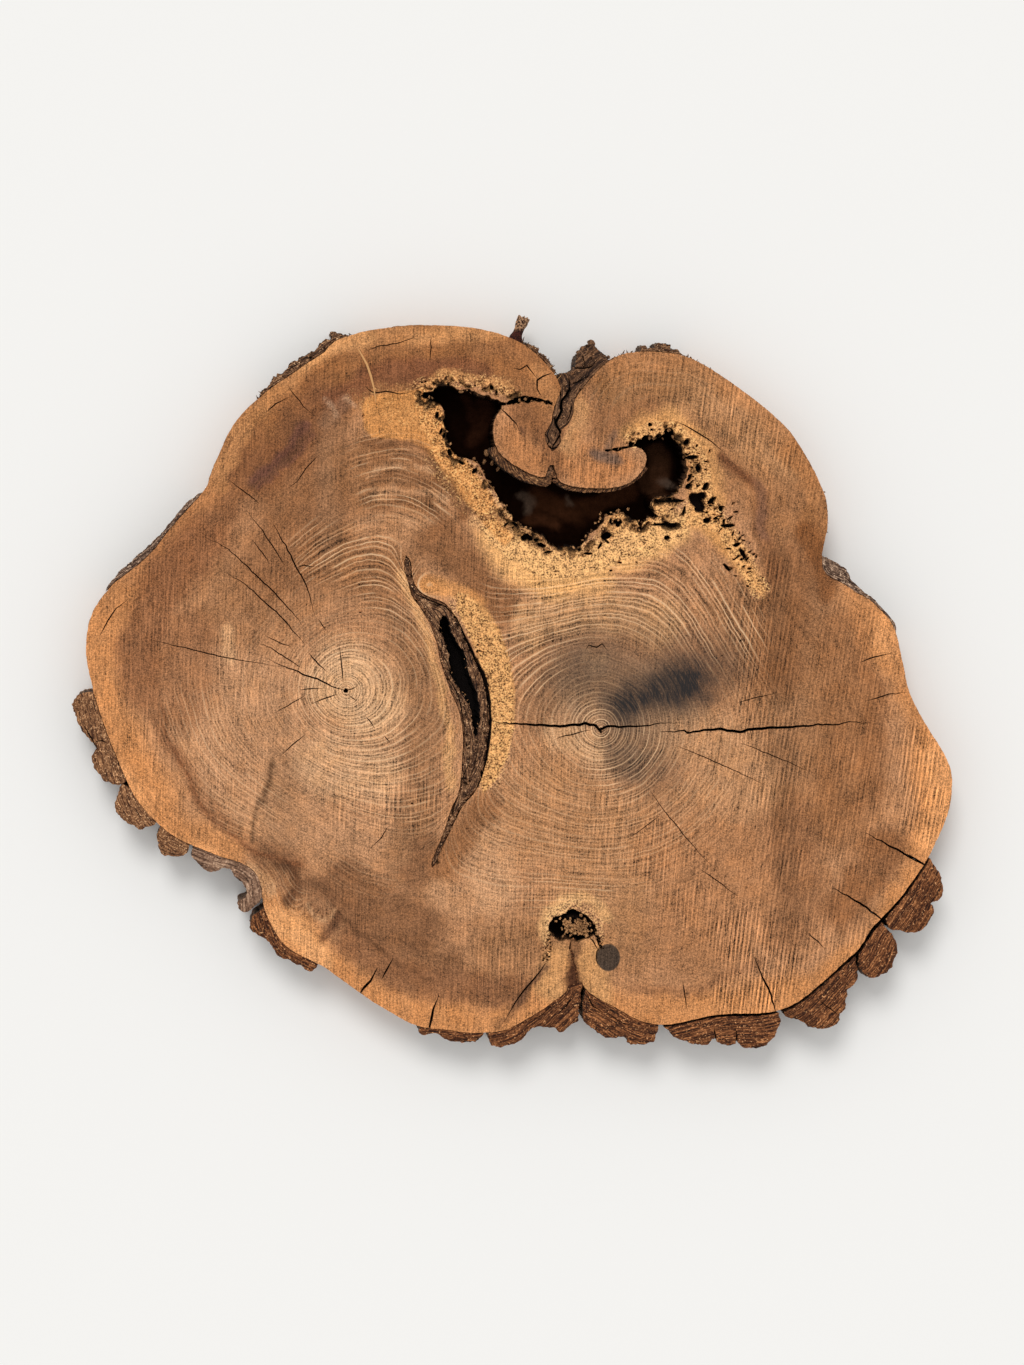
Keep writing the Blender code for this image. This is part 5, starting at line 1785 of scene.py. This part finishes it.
# %% Finish of the crumbs
look, place, shader = finish("crumbs of rot")
grit = place.noise(0.0013, 3.0, 0.7)
clump = place.noise(0.010, 2.0)
height = place.axis(2).rise(FACE - 0.008, FACE - 0.001)
colour = grit.rise(0.36, 0.60).mix(tone(84, 48, 26), tone(214, 160, 108))
colour = (clump.rise(0.46, 0.60) * 0.5).mix(colour, tone(70, 40, 22))
# Crumbs that lie lower are darkened towards brown black: painted shade down in the pocket and the hollow.
surface(shader, (0.35 + height * 0.65).mix(tone(52, 30, 18), colour), 0.88, grit)
crumb_piece.data.materials.append(look)
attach(crumb_piece, "root")
print("nodes of the crumbs:", len(look.node_tree.nodes))

# %% [markdown]
# ## Lumps of bark
#
# Knobs of cork sit on the bark of the crotch and where it ends above the hollow. They are too round to
# be hills in a height map, so they are crumbs again, larger and in the tones of bark.

# %% Lumps
KNOBS = [
    # middle, spread, how many, sizes from and to, how far below the face
    ((586, 352), (8, 6), 34, 0.004, 0.010, 0.004), ((576, 350), (4, 4), 10, 0.005, 0.009, 0.010),
    ((600, 358), (6, 4), 14, 0.003, 0.007, 0.003), ((569, 372), (9, 4), 16, 0.002, 0.005, 0.001),
]
END_KNOBS = [(550, 467, 0.011), (549, 473, 0.013), (554, 474, 0.011), (546, 479, 0.009), (556, 480, 0.008)]
lumps = bmesh.new()
crotch = face_loops("bark_crotch")[0]
for middle, spread, count, smallest, largest, below in KNOBS:
    for spot in at(*rng.normal(middle, spread, (count, 2))):
        if inside(spot[None, :], crotch)[0] or away(spot[None, :], crotch)[0] < 0.0018:
            crumb(lumps, spot, (0.0, 0.004), (smallest, largest), 0.75, FACE - below)
for px, py, size in END_KNOBS:
    crumb(lumps, at((px, py))[0], 0.0065, size)
lump_piece = heaped("lumps_of_bark", lumps)

# %% Finish of the lumps
look, place, shader = finish("lumps of bark", 0.2)
grit = place.noise(0.002, 3.0, 0.7)
reddish = grit.rise(0.4, 0.6).mix(tone(56, 34, 22), tone(166, 112, 72))
colour = grit.rise(0.36, 0.60).mix(tone(30, 20, 15), tone(136, 98, 70))
surface(shader, (place.noise(0.012, 2.0).rise(0.45, 0.6) * 0.8).mix(colour, reddish), 0.9, grit)
lump_piece.data.materials.append(look)
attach(lump_piece, "root")
print("nodes of the lumps:", len(look.node_tree.nodes))

# %% [markdown]
# ## Torn bast and a splinter
#
# Where the bark was torn off near the crotch, fibres of bast still stand out from the rim like coarse
# hair. A pale splinter lies on the left lobe. Hair curves would not be kept by every other program, so
# each fibre is a thin rod of mesh that tapers to a point.

# %% Rods
rods, rod_faces = [], []


def rod(stations, radii, sides=3):
    """A tapering rod through the stations, added to the mesh of fibres."""
    stations = np.array(stations, float)
    start = len(rods)
    for i, (spot, radius) in enumerate(zip(stations, radii)):
        along = stations[min(i + 1, len(stations) - 1)] - stations[max(i - 1, 0)]
        side = np.cross(along, (0, 0, 1))
        side /= np.linalg.norm(side)
        up = np.cross(side, along / np.linalg.norm(along))
        for k in range(sides):
            angle = 2 * math.pi * k / sides + math.pi / 2
            rods.append(tuple(spot + radius * (side * math.cos(angle) + up * math.sin(angle))))
    rod_faces.extend(tube_faces(len(stations) - 1, sides, start))
    rod_faces.append(tuple(range(start, start + sides))[::-1])
    rod_faces.append(tuple(range(start + (len(stations) - 1) * sides, start + len(stations) * sides)))


FIBRE_RADII = (0.0010, 0.0008, 0.0002)
SPLINTER = at((358, 348), (362, 355), (367, 364), (371, 376), (374, 388), (376, 402))
SPLINTER_RADII = (0.0005, 0.0011, 0.0015, 0.0015, 0.0011, 0.0004)
TORN_RIM = [
    # where fibres stand: left, top, right and bottom in pixels, how many, and the longest of them
    ((520, 332, 562, 388), 90, 0.009), ((258, 330, 350, 402), 100, 0.007),
    ((574, 342, 712, 372), 70, 0.005), ((795, 440, 832, 540), 20, 0.004),
]
rim_out = outward(rim)
for (left, top, right, bottom), count, longest in TORN_RIM:
    low, high = at((left, bottom), (right, top))
    near = np.flatnonzero(((rim > low) & (rim < high)).all(1))
    for i in rng.choice(near, count):
        direction = rim_out[i] + rng.normal(0, 0.6, 2)
        length = rng.uniform(0.002, longest)
        height = FACE - rng.uniform(0.0012, 0.02)
        root = rim[i:i + 1] - rim_out[i] * 0.0016 + rng.normal(0, 0.001, 2)
        foot = swollen(root, np.array([height]))[0]
        tip = foot + direction / math.hypot(*direction) * length
        bend = (foot + tip) / 2 + rng.normal(0, 0.0005, 2)
        rod([(*foot, height), (*bend, height), (*tip, height + rng.uniform(-0.001, 0.0008))], FIBRE_RADII)
rod([(x, y, FACE + 0.0002) for x, y in SPLINTER], SPLINTER_RADII, 6)
bast = linked("torn_bast", meshed("torn_bast", rods, rod_faces))
print("rods:", len(rod_faces), "faces")

# %% Finish of the fibres
look, place, shader = finish("torn bast", 0.2)
pale = place.axis(2).rise(FACE - 0.0012, FACE - 0.0006)  # only the splinter lies so high
colour = place.noise(0.003, 2.0, 0.7).rise(0.36, 0.64).mix(tone(40, 24, 16), tone(128, 88, 58))
surface(shader, pale.mix(colour, tone(214, 162, 106)), 0.9)
bast.data.materials.append(look)
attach(bast, "root")
print("nodes of the bast:", len(look.node_tree.nodes))

# %% [markdown]
# ## Floor, light and camera
#
# The slice lies on a plain pale floor. A small hard lamp would draw black edges, so a broad sun from the
# top of the picture gives soft shadows under the lower edges, and a bright even sky fills them. The
# camera looks straight down from 4 m, so the slice fills the frame as it does in the photograph.

# %% Floor
bpy.ops.mesh.primitive_plane_add(size=60)
floor = bpy.context.object
floor.name = "floor"
look, place, shader = finish("floor", 0.0)
surface(shader, (0.92, 0.91, 0.885, 1), 1.0)
floor.data.materials.append(look)
print("floor:", floor.name)

# %% Sky and sun
world = bpy.data.worlds.new("sky")
world.use_nodes = True
sky = world.node_tree.nodes["Background"]
sky.inputs["Color"].default_value = (1.0, 1.0, 1.0, 1)
sky.inputs["Strength"].default_value = 0.70
bpy.context.scene.world = world
sun = bpy.data.lights.new("sun", "SUN")
sun.energy = 1.12
sun.angle = math.radians(26)
lamp = linked("sun", sun)
lamp.rotation_euler = (math.radians(-34), math.radians(-9), 0)
print("sun:", sun.energy, "and sky:", round(sky.inputs["Strength"].default_value, 2))

# %% Camera
DISTANCE = 4.0
SENSOR = 36  # mm
PICTURE_HEIGHT = 1365  # pixels
lens = bpy.data.cameras.new("camera")
lens.sensor_width = SENSOR
lens.lens = SENSOR * DISTANCE / (PICTURE_HEIGHT * PIXEL)
camera = linked("camera", lens)
camera.location = (0, 0, FACE + DISTANCE)
bpy.context.scene.camera = camera
bpy.context.scene.view_settings.view_transform = "Standard"
print("lens in mm:", round(lens.lens, 1))
